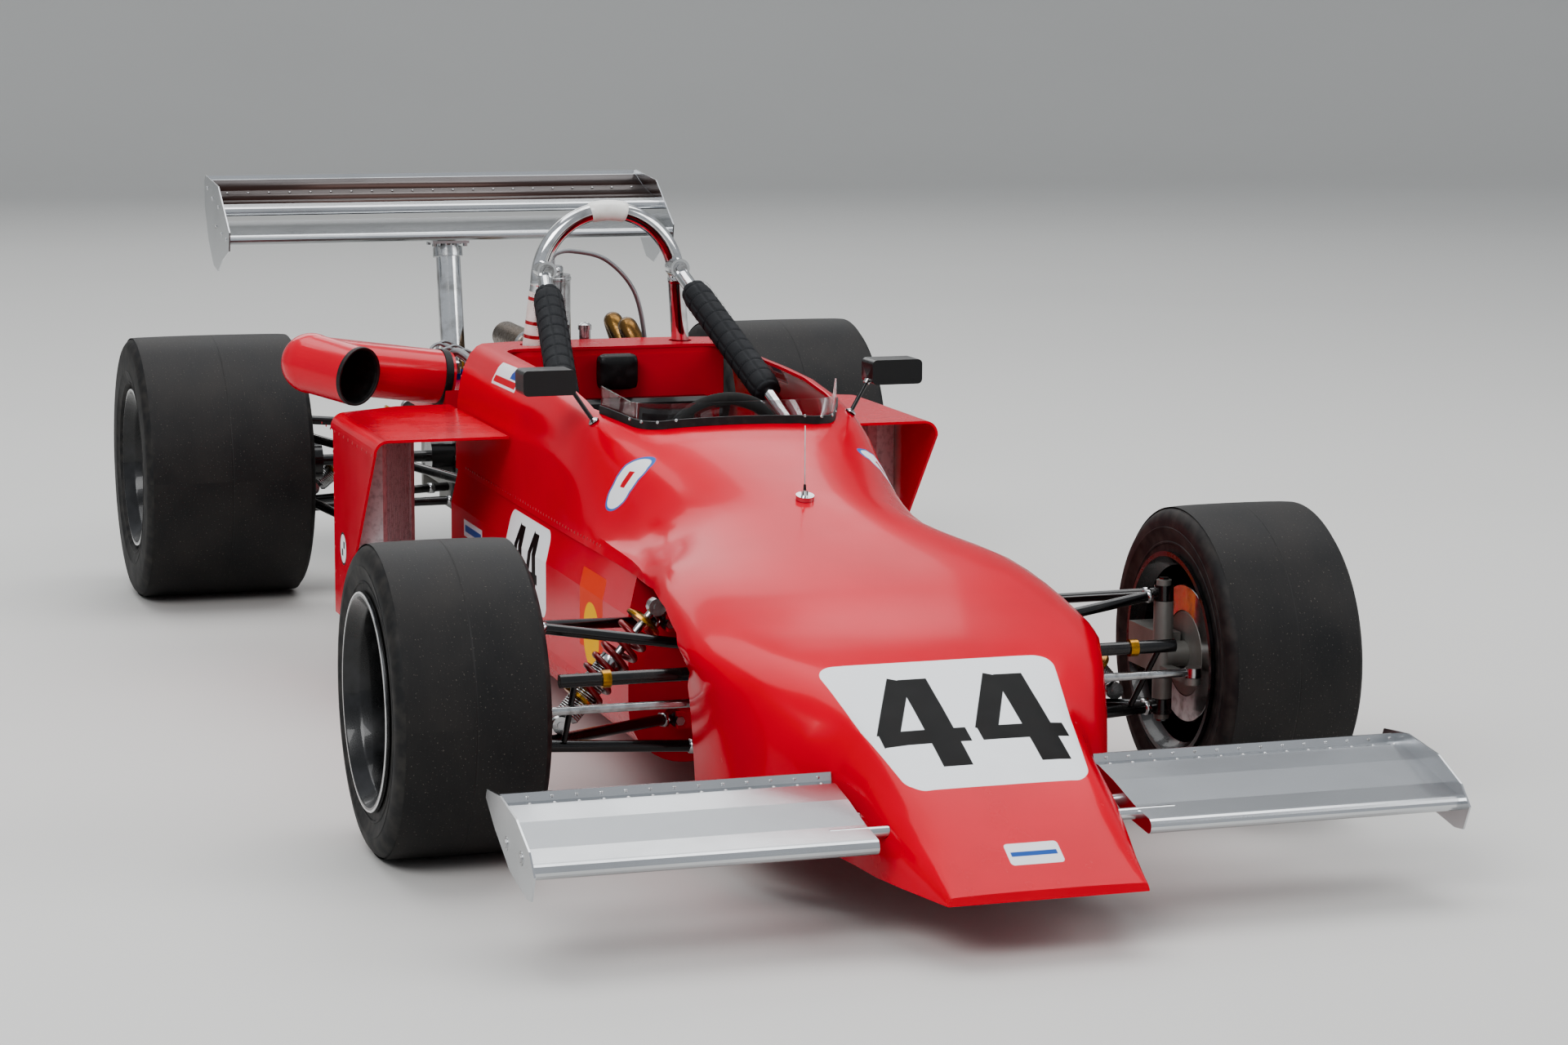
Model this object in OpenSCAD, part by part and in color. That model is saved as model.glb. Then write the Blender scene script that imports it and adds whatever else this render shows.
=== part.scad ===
// Open wheel racing car of the late 1970s, single seat, slick tyres, front and rear wings.
// Frame: +Z up, nose towards -Y, driver's left at +X, ground at z = 0,
// origin under the middle of the overall length.

/* [Overall] */
// Distance between the front and the rear axle
wheelbase = 2500; // [2080:10:3000]
// Front axle to the tip of the nose
front_overhang = 873; // [800:1:1050]
// Rear axle to the back of the rear wing's end plates
rear_overhang = 809; // [700:1:970]
// Between the middles of the front tyres
front_track = 1393; // [1250:1:1672]
// Between the middles of the rear tyres
rear_track = 1335; // [1270:1:1602]

/* [Wheels] */
// Radius of a front tyre
front_tyre_r = 254; // [240:1:305]
// Width of a front tyre
front_tyre_w = 250; // [205:1:270]
// Radius of a rear tyre
rear_tyre_r = 292; // [270:1:350]
// Width of a rear tyre
rear_tyre_w = 373; // [310:1:400]
// Radius of a rim's flange
rim_r = 176.5; // [170:0.5:190]
// Depth of a front wheel's disc behind its outer flange
front_dish = 95; // [70:1:120]
// Depth of a rear wheel's disc behind its outer flange
rear_dish = 150; // [110:1:190]

/* [Bodywork] */
// Thickness of the moulded bodywork
skin = 6; // [4:0.5:9]
// Half width of the cockpit opening
cockpit_half_w = 232; // [200:1:240]
// Height of the joint between tub and cowl
seam_z = 390; // [380:1:400]
// Height of the tub's floor above the ground
floor_z = 62; // [50:1:75]
// Half width of the foot box
footbox_half_w = 200; // [170:1:210]
// Gap left between pieces that lie against each other
seat_gap = 0.3; // [0.2:0.05:0.5]

/* [Steering] */
// Half distance between the kingpins
kingpin_x = 560; // [540:1:566]
// Forward reach of a steering arm
steering_arm = 125; // [110:1:140]
// Height of the track rods
rack_z = 247; // [240:1:255]
// Height of an upper ball joint
upper_joint_z = 362; // [350:1:365]
// Height of a lower ball joint
lower_joint_z = 165; // [160:1:175]
// Radius of a kingpin
kingpin_r = 8; // [6:0.5:10]
// Radius of a front stub axle
stub_r = 22; // [18:0.5:24]
// Gap between a pin and its bore
pin_gap = 0.3; // [0.2:0.05:0.5]
// Radius of the steering wheel's rim
wheel_rim_r = 130; // [110:1:140]

/* [Wings] */
// Half span of the front wings
front_wing_half_w = 733; // [640:1:760]
// Half span of the rear wing
rear_wing_half_w = 545; // [460:1:640]
// Thickness of a wing's end plate
plate_t = 3; // [2:0.5:4]

/* [Hidden] */
$fn = 64;

// Places of the axles and of what hangs on them
front_y = front_overhang - (front_overhang + wheelbase + rear_overhang) / 2;
rear_y = front_y + wheelbase;
front_wheel_x = front_track / 2;
rear_wheel_x = rear_track / 2;
// The cockpit takes up any change of wheelbase; nose and engine bay keep their lengths
engine_bay = 885;
bulkhead = wheelbase - engine_bay;
cockpit_stretch = (bulkhead - 300) / 1315;
front_rim_half_w = front_tyre_w / 2 + 2;
rear_rim_half_w = rear_tyre_w / 2 - 9;
steering_angle = 17.5;
wheel_centre_y = 745;
wheel_centre_z = 517;

// ---------------------------------------------------------------- shared shapes

module at_front() translate([0, front_y, 0]) children();
module at_rear() translate([0, rear_y, 0]) children();
module both_sides() {
    children();
    mirror([1, 0, 0]) children();
}

// A round bar between two points
module bar(a, b, r, fn = 32) {
    d = b - a;
    l = norm(d);
    translate(a)
        rotate([0, acos(d.z / l), atan2(d.y, d.x)])
            cylinder(h = l, r = r, $fn = fn);
}

// A bar that bends through a list of points, with a ball at each bend
module bent_bar(points, r, fn = 32) {
    for (i = [0 : len(points) - 2])
        bar(points[i], points[i + 1], r, fn);
    for (i = [1 : len(points) - 2])
        translate(points[i]) sphere(r = r + 0.6, $fn = fn);
}

// A plate whose outline is drawn in Y and Z, standing across X
module side_plate(x, t, outline) {
    translate([x, 0, 0])
        rotate([90, 0, 90])
            linear_extrude(height = t) polygon(outline);
}

function arc(cx, cy, r, from, to, n) =
    [for (i = [0 : n]) let (a = from + (to - from) * i / n) [cx + r * cos(a), cy + r * sin(a)]];

// Smooth curve value between p1 and p2 (Catmull-Rom)
function between(p0, p1, p2, p3, t) =
    0.5 * (2 * p1 + (p2 - p0) * t + (2 * p0 - 5 * p1 + 4 * p2 - p3) * t * t
        + (3 * p1 - p0 - 3 * p2 + p3) * t * t * t);
function at(list, i) = list[max(0, min(len(list) - 1, i))];
function smooth(list, n) = concat(
    [for (i = [0 : len(list) - 2]) for (k = [0 : n - 1])
        between(at(list, i - 1), list[i], list[i + 1], at(list, i + 2), k / n)],
    [list[len(list) - 1]]);

// Closed solid through rings of points that all have the same count
function ring_faces(rings, n) = [
    for (i = [0 : rings - 2]) for (k = [0 : n - 1])
        let (a = i * n + k, b = i * n + (k + 1) % n)
            each [[a, b, b + n], [a, b + n, a + n]]];
module loft(rings) {
    n = len(rings[0]);
    last = len(rings) - 1;
    polyhedron(
        points = [for (ring = rings) each ring],
        faces = concat(
            ring_faces(len(rings), n),
            [[for (k = [n - 1 : -1 : 0]) k]],
            [[for (k = [0 : n - 1]) last * n + k]]));
}

// ---------------------------------------------------------------- bodywork

// Half sections from the top middle to the lower edge: [y behind the front axle, [x, z] ...]
BODY = [
    [-front_overhang, [[0, 105], [60, 105], [120, 104], [148, 103], [153, 101], [154, 99],
        [155, 96], [156, 93], [156, 90]]],
    [-810, [[0, 143], [60, 143], [118, 142], [146, 138], [158, 130], [163, 121], [166, 112],
        [168, 100], [169, 89]]],
    [-678, [[0, 218], [70, 218], [138, 216], [160, 205], [180, 185], [188, 165], [193, 140],
        [195, 110], [196, 88]]],
    [-530, [[0, 285], [75, 285], [152, 282], [178, 266], [195, 238], [202, 208], [206, 170],
        [208, 125], [208, 86]]],
    [-470, [[0, 310], [80, 310], [165, 307], [198, 296], [225, 272], [241, 245], [249, 205],
        [252, 150], [252, 85]]],
    [-375, [[0, 347], [90, 347], [190, 346], [238, 338], [278, 318], [292, 285], [298, 240],
        [300, 165], [298, 84]]],
    [-250, [[0, 379], [100, 379], [210, 377], [275, 372], [325, 352], [338, 325], [328, 280],
        [318, 190], [312, 84]]],
    [-175, [[0, 397], [100, 397], [215, 396], [285, 390], [332, 368], [346, 338], [333, 305],
        [322, 200], [316, 84]]],
    [-60, [[0, 427], [100, 427], [200, 426], [268, 420], [318, 400], [340, 370], [334, 330],
        [322, 200], [316, 84]]],
    [60, [[0, 458], [90, 457], [180, 452], [248, 442], [298, 424], [322, 396], [324, 350],
        [318, 200], [312, 84]]],
    [180, [[0, 488], [85, 486], [165, 474], [225, 453], [273, 432], [303, 408], [310, 380],
        [306, 200], [300, 84]]],
    [300, [[0, 518], [80, 514], [150, 497], [203, 466], [248, 438], [283, 412], [304, 385],
        [304, 200], [300, 84]]]];
COCKPIT = [
    [0.115, [[0, 554], [100, 549], [175, 531], [218, 497], [250, 457], [280, 420], [304, 385],
        [304, 200], [300, 84]]],
    [0.23, [[0, 588], [110, 585], [193, 573], [238, 548], [266, 500], [290, 445], [305, 385],
        [304, 200], [300, 84]]],
    [0.34, [[0, 606], [120, 606], [212, 604], [252, 592], [278, 550], [297, 480], [306, 385],
        [304, 200], [300, 84]]],
    [0.51, [[0, 628], [120, 629], [215, 632], [250, 628], [277, 595], [298, 520], [306, 385],
        [304, 200], [300, 84]]],
    [0.75, [[0, 637], [120, 638], [222, 640], [256, 634], [281, 600], [300, 530], [306, 385],
        [304, 200], [300, 84]]],
    [1, [[0, 648], [120, 648], [226, 646], [260, 640], [285, 603], [301, 530], [306, 385],
        [304, 200], [300, 84]]]];
body_stations = concat(BODY, [for (s = COCKPIT) [300 + s[0] * (bulkhead - 300), s[1]]]);
body_ys = smooth([for (s = body_stations) s[0]], 2);
body_columns = [for (k = [0 : 8]) smooth([for (s = body_stations) s[1][k]], 2)];
body_profiles = [for (i = [0 : len(body_ys) - 1])
    smooth([for (k = [0 : 8]) body_columns[k][i]], 2)];

// Profile moved inwards by t along its own normals
function inset(p, t) = [for (i = [0 : len(p) - 1])
    let (d = at(p, i + 1) - at(p, i - 1), l = norm(d))
        i == 0 ? [0, p[0][1] - t] : p[i] + t * [d[1], -d[0]] / l];
function whole_ring(p, y, low) = concat(
    [for (i = [len(p) - 1 : -1 : 1]) [p[i][0], y, p[i][1]]],
    [for (i = [0 : len(p) - 1]) [-p[i][0], y, p[i][1]]],
    low == 0 ? [] : [[-p[len(p) - 1][0], y, low], [p[len(p) - 1][0], y, low]]);

module body_outside() {
    loft([for (i = [0 : len(body_ys) - 1]) whole_ring(body_profiles[i], body_ys[i], 0)]);
}

module body_inside(t = skin) {
    last = len(body_ys) - 1;
    loft([for (i = [1 : last])
        let (y = i == last ? body_ys[i] + 1 : body_ys[i])
            whole_ring(inset(body_profiles[i], t), y, 20)]);
}

// Side view of what the bodywork leaves free: the suspension notch, and the tub's sides
module notch_outline() {
    polygon([
        [-150, 0], [-150, 282], [-172, 307], [-160, 333], [-125, 362], [-25, 386], [90, 396],
        [173, 391], [240, seam_z + seat_gap],
        [bulkhead + 50, seam_z + seat_gap], [bulkhead + 50, 0]]);
}

screen_y = 640;
module cockpit_outline(grow = 0) {
    side = cockpit_half_w + grow;
    rear = bulkhead - 115;
    polygon(concat(
        arc(-135, screen_y + 55, 55 + grow, 205, 270, 6),
        arc(135, screen_y + 55, 55 + grow, 270, 335, 6),
        [[side, screen_y + 150]],
        arc(side - 40, rear - 40, 40, 0, 90, 6),
        arc(-side + 40, rear - 40, 40, 90, 180, 6),
        [[-side, screen_y + 150]]));
}

module joined_skin() {
    resize([0, 0, 0]) union() children();
}

hoop_leg_top = [145, bulkhead - 70, 773];
hoop_leg_foot = [181, bulkhead - 27, 421];

module bodywork() {
    color("crimson")
        at_front()
            joined_skin()
                difference() {
                    body_outside();
                    body_inside();
                    rotate([90, 0, 90])
                        linear_extrude(height = 1000, center = true) notch_outline();
                    translate([0, 0, 450])
                        linear_extrude(height = 400) cockpit_outline();
                    both_sides() {
                        bar(hoop_leg_top, hoop_leg_foot, hoop_r + 6);
                        for (y = wing_spars)
                            bar([150, y, wing_spar_z], [260, y, wing_spar_z], wing_spar_r + 0.6);
                    }
                }
}

// ---------------------------------------------------------------- tub and cockpit

tub_half_w = 300;
tub_bulge = 16;
tub_corner_r = 100;
tub_wall_floor = 30;
tub_front = 255;
footbox_front = -60;
footbox_h = 282;
module tub_section() {
    widest = tub_half_w + tub_bulge;
    corner = [widest - tub_corner_r, floor_z + tub_corner_r];
    difference() {
        polygon(concat(
            [[-tub_half_w, seam_z], [-widest, seam_z - 70]],
            arc(-corner.x, corner.y, tub_corner_r, 180, 270, 8),
            arc(corner.x, corner.y, tub_corner_r, 270, 360, 8),
            [[widest, seam_z - 70], [tub_half_w, seam_z]]));
        translate([-cockpit_half_w, floor_z + tub_wall_floor]) square([2 * cockpit_half_w, 400]);
    }
}

module tub() {
    color("firebrick")
        at_front()
            difference() {
                union() {
                    translate([0, bulkhead, 0])
                        rotate([90, 0, 0])
                            linear_extrude(height = bulkhead - tub_front) tub_section();
                    translate([-footbox_half_w, footbox_front, floor_z + 6])
                        cube([2 * footbox_half_w, tub_front - footbox_front + 20, footbox_h]);
                    translate([-cockpit_half_w - 1, bulkhead - 115, floor_z + 20])
                        cube([2 * cockpit_half_w + 2, 35, 545]);
                    translate([-cockpit_half_w - 1, bulkhead - 81, floor_z + 20])
                        cube([2 * cockpit_half_w + 2, 81, seam_z + 30 - floor_z - 20]);
                    translate([-cockpit_half_w - 1, tub_front, floor_z + 20])
                        cube([2 * cockpit_half_w + 2, 20, 268]);
                    both_sides()
                        for (p = concat(upper_pivots, lower_pivots))
                            pivot_ears(p);
                }
                translate([-footbox_half_w + 25, footbox_front + 20, floor_z + 30])
                    cube([2 * footbox_half_w - 50, tub_front - footbox_front + 40, 230]);
                bar([0, footbox_front - 10, column_z(footbox_front - 10)], [0, 300, column_z(300)], 22);
            }
}

// Height of the steering column's axis above the ground at a place behind the front axle
function column_z(y) = wheel_centre_z - (wheel_centre_y - y) * tan(steering_angle);

module seat() {
    rear = bulkhead - 115;
    color("dimgray")
        at_front()
            difference() {
                side_plate(-190, 380, [
                    [rear - 660, floor_z + 30 + seat_gap], [rear - 250, floor_z + 30 + seat_gap],
                    [rear - 12, 440], [rear - 6, 540], [rear - 30, 540], [rear - 130, 440],
                    [rear - 290, 150], [rear - 380, 125], [rear - 640, 165]]);
                side_plate(-165, 330, [
                    [rear - 700, 250], [rear - 640, 130], [rear - 375, 106], [rear - 270, 122],
                    [rear - 52, 430], [rear - 30, 600], [rear - 400, 600]]);
            }
}

module headrest() {
    color("black")
        at_front()
            translate([0, bulkhead - 115 - seat_gap - 24, 595])
                minkowski() {
                    cube([64, 14, 50], center = true);
                    sphere(r = 17, $fn = 24);
                }
}

dash_y = 560;
dash_half_w = cockpit_half_w - seat_gap;
module dashboard() {
    color("black")
        at_front()
            difference() {
                union() {
                    translate([0, dash_y, 0])
                        rotate([90, 0, 0])
                            linear_extrude(height = 8)
                                polygon([[-dash_half_w, 345], [dash_half_w, 345], [dash_half_w, 420],
                                    [215, 470], [190, 520], [150, 552], [-150, 552], [-190, 520],
                                    [-215, 470], [-dash_half_w, 420]]);
                    translate([0, wheel_centre_y, wheel_centre_z])
                        rotate([90 + steering_angle, 0, 0])
                            translate([0, 0, 158]) cylinder(h = 45, r = 20);
                }
                bar([0, 300, column_z(300)], [0, wheel_centre_y, wheel_centre_z], column_r + pin_gap);
            }
}

column_r = 10;
module steering_wheel() {
    color("black")
        at_front()
            translate([0, wheel_centre_y, wheel_centre_z])
                rotate([-90 + steering_angle, 0, 0]) {
                    rotate_extrude() translate([wheel_rim_r - 13, 0]) circle(r = 13, $fn = 32);
                    for (a = [0, 120, 240])
                        rotate([0, 0, a + 30])
                            translate([0, -14, -2]) cube([wheel_rim_r - 20, 28, 4]);
                    translate([0, 0, -12]) cylinder(h = 20, r = 32);
                    translate([0, 0, -884]) cylinder(h = 879, r = column_r);
                }
}

// ---------------------------------------------------------------- screen, mirrors, aerial

module screen_band(out, t, low, high) {
    translate([0, 0, low])
        linear_extrude(height = high - low)
            difference() {
                cockpit_outline(out + t);
                cockpit_outline(out);
                translate([-500, screen_y + 120]) square([1000, 2000]);
            }
}

module above_body(lift) {
    joined_skin()
        difference() {
            children();
            translate([0, 0, lift]) body_outside();
        }
}

module windscreen() {
    color("lightblue", 0.4)
        at_front()
            above_body(seat_gap)
                intersection() {
                    screen_band(4, 3, 520, 700);
                    side_plate(-400, 800, [[560, 560], [560, 632], [680, 634], [800, 664], [800, 560]]);
                }
}

module screen_trim() {
    color("black")
        at_front()
            above_body(seat_gap)
                intersection() {
                    screen_band(7.3, 3, 520, 700);
                    translate([0, 0, 15]) body_outside();
                }
}

module aerial() {
    color("silver")
        at_front()
            translate([0, 259, 507.9]) {
                rotate([14, 0, 0]) translate([0, 0, seat_gap]) cylinder(h = 8, r = 16);
                translate([0, 0, 5]) cylinder(h = 10, r = 6);
                translate([0, 0, 5]) cylinder(h = 123, r = 1);
            }
}

mirror_x = 333;
module mirrors() {
    color("black")
        at_front()
            both_sides() {
                translate([mirror_x, 750, 667])
                    hull()
                        for (sx = [-40, 40])
                            for (sz = [-14, 14])
                                translate([sx, 0, sz])
                                    rotate([90, 0, 0]) cylinder(h = 62, r = 9, center = true, $fn = 32);
                bar([mirror_x - 45, 750, 655], [248, 737.4, 594], 4);
            }
}

// ---------------------------------------------------------------- roll hoop

hoop_r = 18;
brace_r = 15;
brace_top = [140, bulkhead - 88, 800];
brace_foot = [266, 719 * cockpit_stretch + 300 * (1 - cockpit_stretch), seam_z + seat_gap];
module roll_hoop() {
    color("silver")
        at_front() {
            difference() {
                union() {
                    translate([0, hoop_leg_top.y, hoop_leg_top.z])
                        rotate([90, 0, 0])
                            rotate_extrude(angle = 180)
                                translate([hoop_leg_top.x, 0]) circle(r = hoop_r, $fn = 32);
                    both_sides() {
                        bar(hoop_leg_top, hoop_leg_foot, hoop_r);
                        translate(hoop_leg_top) sphere(r = hoop_r + 0.7, $fn = 32);
                        bar(brace_top, brace_foot, brace_r);
                        translate([brace_top.x, brace_top.y - 6, brace_top.z])
                            rotate([90, 0, 0]) cylinder(h = 46, r = 20, center = true);
                    }
                }
                translate([-500, 0, -1]) cube([1000, 3000, seam_z + seat_gap + 1]);
                translate([-500, bulkhead - 80, -1]) cube([1000, 300, seam_z + 30 + seat_gap + 1]);
            }
        }
}

module brace_pads() {
    axis = brace_foot - brace_top;
    color("black")
        at_front()
            both_sides()
                difference() {
                    bar(brace_top + 0.09 * axis, brace_top + 0.53 * axis, 35);
                    bar(brace_top, brace_foot, brace_r + seat_gap);
                }
}

// ---------------------------------------------------------------- wings

wing_spars = [-690, -600];
wing_spar_z = 160;
wing_spar_r = 9;
module front_wing() {
    root = 214;
    tip = front_wing_half_w;
    section = concat(
        arc(-732, 150, 12, 90, 270, 8),
        [[-640, 148], [-560, 176], [-520, 196], [-519, 201], [-540, 201], [-600, 190], [-680, 170]]);
    color("silver")
        at_front() {
            side_plate(root, tip - root, section);
            side_plate(root, tip - root, [[-522, 199], [-518, 199], [-515, 214], [-519, 214]]);
            side_plate(tip, plate_t, concat(
                [[-765, 150], [-747, 111], [-720, 108]],
                [[-620, 125], [-530, 165], [-473, 200], [-480, 214], [-560, 222], [-660, 210],
        [-735, 180]]));
            for (y = wing_spars)
                bar([180, y, wing_spar_z], [root + 60, y, wing_spar_z], wing_spar_r);
        }
}
module front_wing_left() front_wing();
module front_wing_right() mirror([1, 0, 0]) front_wing();

post_top = [0, 545, 742];
post_foot = [0, 474, 402];
module rear_wing() {
    half = rear_wing_half_w;
    back = rear_overhang;
    main = concat(
        arc(475, 760, 12, 90, 270, 8),
        [[560, 752], [640, 776], [660, 792], [600, 786], [530, 778]]);
    flap = concat(
        arc(560, 822, 11, 100, 270, 8),
        [[640, 812], [730, 838], [back - 14, 880], [back - 18, 885], [720, 860], [640, 842]]);
    color("silver")
        at_rear()
            both_sides() {
                side_plate(0, half, main);
                side_plate(0, half, flap);
                side_plate(0, half, [
                    [back - 20, 882], [back - 15, 880], [back - 11, 893], [back - 15, 894]]);
                side_plate(half, plate_t, [
                    [445, 780], [455, 735], [560, 705], [622, 674], [690, 684], [760, 740], [back, 820],
                    [back, 880], [back - 16, 896], [600, 880]]);
                side_plate(0, 45, [[500, 740], [590, 740], [610, 755], [598, 768], [500, 765]]);
            }
}

module wing_post() {
    color("gainsboro")
        at_rear()
            difference() {
                union() {
                    bar(post_foot, post_top, 30);
                    bar(post_foot, post_foot + 0.1 * (post_top - post_foot), 48);
                }
                translate([-100, 400, 740 - seat_gap]) cube([200, 300, 60]);
                translate([-100, 300, 300]) cube([200, 300, gearbox_top - 300 + seat_gap]);
            }
}

// ---------------------------------------------------------------- side pods

pod_x = 572;
pod_z = 516;
pod_front = bulkhead - 475;
module side_pod() {
    fold = 28;
    sheet = 5;
    color("crimson")
        at_front()
            intersection() {
                translate([0, pod_front + 560, 0])
                    rotate([90, 0, 0])
                        linear_extrude(height = 560)
                            difference() {
                                polygon(concat(
                                    [[pod_x, 110]],
                                    arc(pod_x - fold, pod_z - fold, fold, 0, 90, 8),
                                    [[308, pod_z], [308, pod_z - sheet]],
                                    arc(pod_x - fold, pod_z - fold, fold - sheet, 90, 0, 8),
                                    [[pod_x - sheet, 110]]));
                            }
                side_plate(300, 300, [
                    [pod_front, pod_z + 10], [pod_front, pod_z - 30], [pod_front + 330, 116],
                    [pod_front + 410, 116], [pod_front + 410, pod_z - 30], [pod_front + 560, pod_z - 20],
                    [pod_front + 560, pod_z + 10]]);
                translate([0, 0, 100])
                    linear_extrude(height = 500)
                        polygon([[200, pod_front - 5], [600, pod_front - 5], [600, pod_front + 420],
                            [420, pod_front + 520], [200, pod_front + 520]]);
            }
}
module side_pod_left() side_pod();
module side_pod_right() mirror([1, 0, 0]) side_pod();

module radiators() {
    color("dimgray")
        at_front()
            both_sides() {
                translate([pod_x - 35, pod_front + 215, 0])
                    rotate([0, 0, 118]) {
                        translate([25, -22, 170]) cube([175, 44, 330]);
                        translate([0, -26, 160]) cube([25, 52, 345]);
                        translate([200, -26, 160]) cube([25, 52, 345]);
                    }
                bar([tub_half_w + tub_bulge + seat_gap, pod_front + 370, 250],
                    [445, pod_front + 370, 250], 9);
            }
}

// ---------------------------------------------------------------- engine and gearbox

engine_rear = -330;
gearbox_top = 412;
gearbox_half_w = 95;
head_half_w = 135;
module engine() {
    back = engine_rear;
    front = -engine_bay + 88;
    color("gray")
        at_rear() {
            translate([-150, front, 90]) cube([300, back - front, 110]);
            translate([-120, front, 200]) cube([240, back - front, 250]);
            translate([-head_half_w, front + 10, 440]) cube([2 * head_half_w, back - front - 30, 85]);
            for (x = [-72, 72])
                translate([x, front + 10, 525])
                    rotate([-90, 0, 0]) cylinder(h = back - front - 30, r = 42);
        }
}

module gearbox() {
    color("gray")
        at_rear()
            difference() {
                union() {
                    translate([0, engine_rear + seat_gap, 240])
                        rotate([-90, 0, 0]) cylinder(h = 40, r = 165);
                    translate([0, engine_rear + 40, 240])
                        rotate([-90, 0, 0]) cylinder(h = 190, r1 = 160, r2 = 110);
                    translate([-gearbox_half_w, -100, 150]) cube([2 * gearbox_half_w, 330, 230]);
                    translate([0, 0, rear_tyre_r])
                        rotate([0, 90, 0]) cylinder(h = 230, r = 60, center = true);
                    translate([-75, 230, 180]) cube([150, 290, gearbox_top - 180]);
                    translate([-22, 520, 150]) cube([44, 60, 60]);
                    bar([-189.7, 60, 400], [189.7, 60, 400], 10);
                    translate([-40, 40, 370]) cube([80, 40, 42]);
                    translate([-75, 500, 150]) cube([150, 20, 60]);
                }
                translate([-30, 555, 180])
                    rotate([0, 90, 0]) cylinder(h = 60, r = jack_bore_r);
            }
}
jack_bore_r = 12;

module exhaust() {
    color("goldenrod")
        at_rear()
            joined_skin() {
                for (i = [0 : 3])
                    bent_bar([
                        [head_half_w + seat_gap, -740 + 118 * i, 485],
                        [180, -740 + 118 * i, 485],
                        [205, -640 + 98 * i, 420],
                        [190, -235, 390]], 21, 16);
                bent_bar([[190, -265, 390], [185, -120, 420], [150, 60, 500], [150, 560, 505]], 36, 20);
            }
}

module catch_tanks() {
    color("silver")
        at_front() {
            translate([-92, bulkhead + 40 + seat_gap, 380]) cylinder(h = 400, r = 40);
            translate([-25, bulkhead + 24 + seat_gap, 390]) {
                cylinder(h = 240, r = 24);
                cylinder(h = 275, r = 12);
            }
        }
}

intake_mouth = [-500, -860, 582];
intake_elbow = [-577, -755, 600];
intake_drum = [-285, -712, 556];
module air_intake() {
    horn = intake_mouth - intake_elbow;
    color("crimson")
        at_rear() joined_skin() {
            difference() {
                union() {
                    bar(intake_elbow, intake_mouth, 61, 48);
                    bar(intake_elbow, intake_drum, 57, 48);
                    translate(intake_elbow) sphere(r = 62.5, $fn = 48);
                }
                bar(intake_elbow + 0.2 * horn, intake_mouth + 0.2 * horn, 56, 48);
            }
            translate([-300, -770, 470]) cube([95, 420, 66]);
            for (i = [0 : 3])
                bar([-220, -740 + 118 * i, 495], [-head_half_w - seat_gap, -740 + 118 * i, 495], 19);
        }
}

// ---------------------------------------------------------------- suspension

boss_h = 26;
boss_r = 17;
module wishbone(outer, front, rear, r) {
    difference() {
        union() {
            bar(outer, front, r);
            bar(outer, rear, r);
            translate([outer.x, outer.y, outer.z - boss_h / 2]) cylinder(h = boss_h, r = boss_r);
            for (p = [front, rear])
                translate(p) rotate([90, 0, 0]) cylinder(h = 34, r = 14, center = true);
        }
        translate([outer.x, outer.y, outer.z - boss_h])
            cylinder(h = 2 * boss_h, r = kingpin_r + pin_gap);
    }
}

upper_pivots = [[262, -25, 318], [262, 215, 318]];
lower_pivots = [[255, -25, 152], [245, 215, 150]];
module front_wishbones() {
    color("dimgray")
        at_front()
            both_sides() {
                wishbone([kingpin_x, 0, upper_joint_z], upper_pivots[0], upper_pivots[1], 9);
                wishbone([kingpin_x, 0, lower_joint_z], lower_pivots[0], lower_pivots[1], 10);
            }
}

// Two ears that hold a wishbone's inner pivot
module pivot_ears(p) {
    for (dy = [-23.3, 23.3])
        translate([footbox_half_w - 12, p.y + dy - 6, p.z - 14])
            cube([p.x - footbox_half_w + 16, 12, 28]);
}

// Spring and damper unit: lower eye, damper body, spring, rod, upper eye
module coilover(a, b, spring_r) {
    d = b - a;
    l = norm(d);
    translate(a)
        rotate([0, acos(d.z / l), atan2(d.y, d.x)]) {
            cylinder(h = 0.55 * l, r = 21);
            cylinder(h = l, r = 7);
            difference() {
                translate([0, 0, 0.2 * l]) cylinder(h = 0.68 * l, r = spring_r);
                translate([0, 0, 0.2 * l + 5]) cylinder(h = 0.68 * l - 10, r = spring_r - 9);
            }
            translate([0, 0, 0.88 * l]) cylinder(h = 0.06 * l, r = 18);
        }
    for (p = [a, b])
        translate(p) rotate([90, 0, 0]) cylinder(h = 22, r = 15, center = true);
}

module front_coilovers() {
    color("red")
        at_front()
            both_sides() {
                coilover([490, 48, 187], [322, 62, 372], 33);
                bar([footbox_half_w - 20, 62, 372], [322, 62, 372], 9);
                translate([footbox_half_w - 30, 40, floor_z + 6 + footbox_h + seat_gap])
                    cube([30, 44, 34]);
            }
}

arb_y = -112;
module anti_roll_bar() {
    color("dimgray")
        at_front() {
            bar([-531, arb_y, 292], [531, arb_y, 292], 11);
            both_sides() {
                translate([170, arb_y - 16, 277]) cube([30, footbox_front - arb_y + 16 - seat_gap, 30]);
                bar([505, arb_y, 291], [497.6, -13, 174], 5);
            }
        }
}

rack_y = -steering_arm;
module rack_housing() {
    color("silver")
        at_front()
            difference() {
                union() {
                    bar([-150, rack_y, rack_z], [150, rack_y, rack_z], 19);
                    for (x = [-120, 120])
                        translate([x - 15, rack_y, rack_z - 15])
                            cube([30, footbox_front - rack_y - seat_gap, 30]);
                }
                bar([-200, rack_y, rack_z], [200, rack_y, rack_z], rack_r + pin_gap);
            }
}

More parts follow.
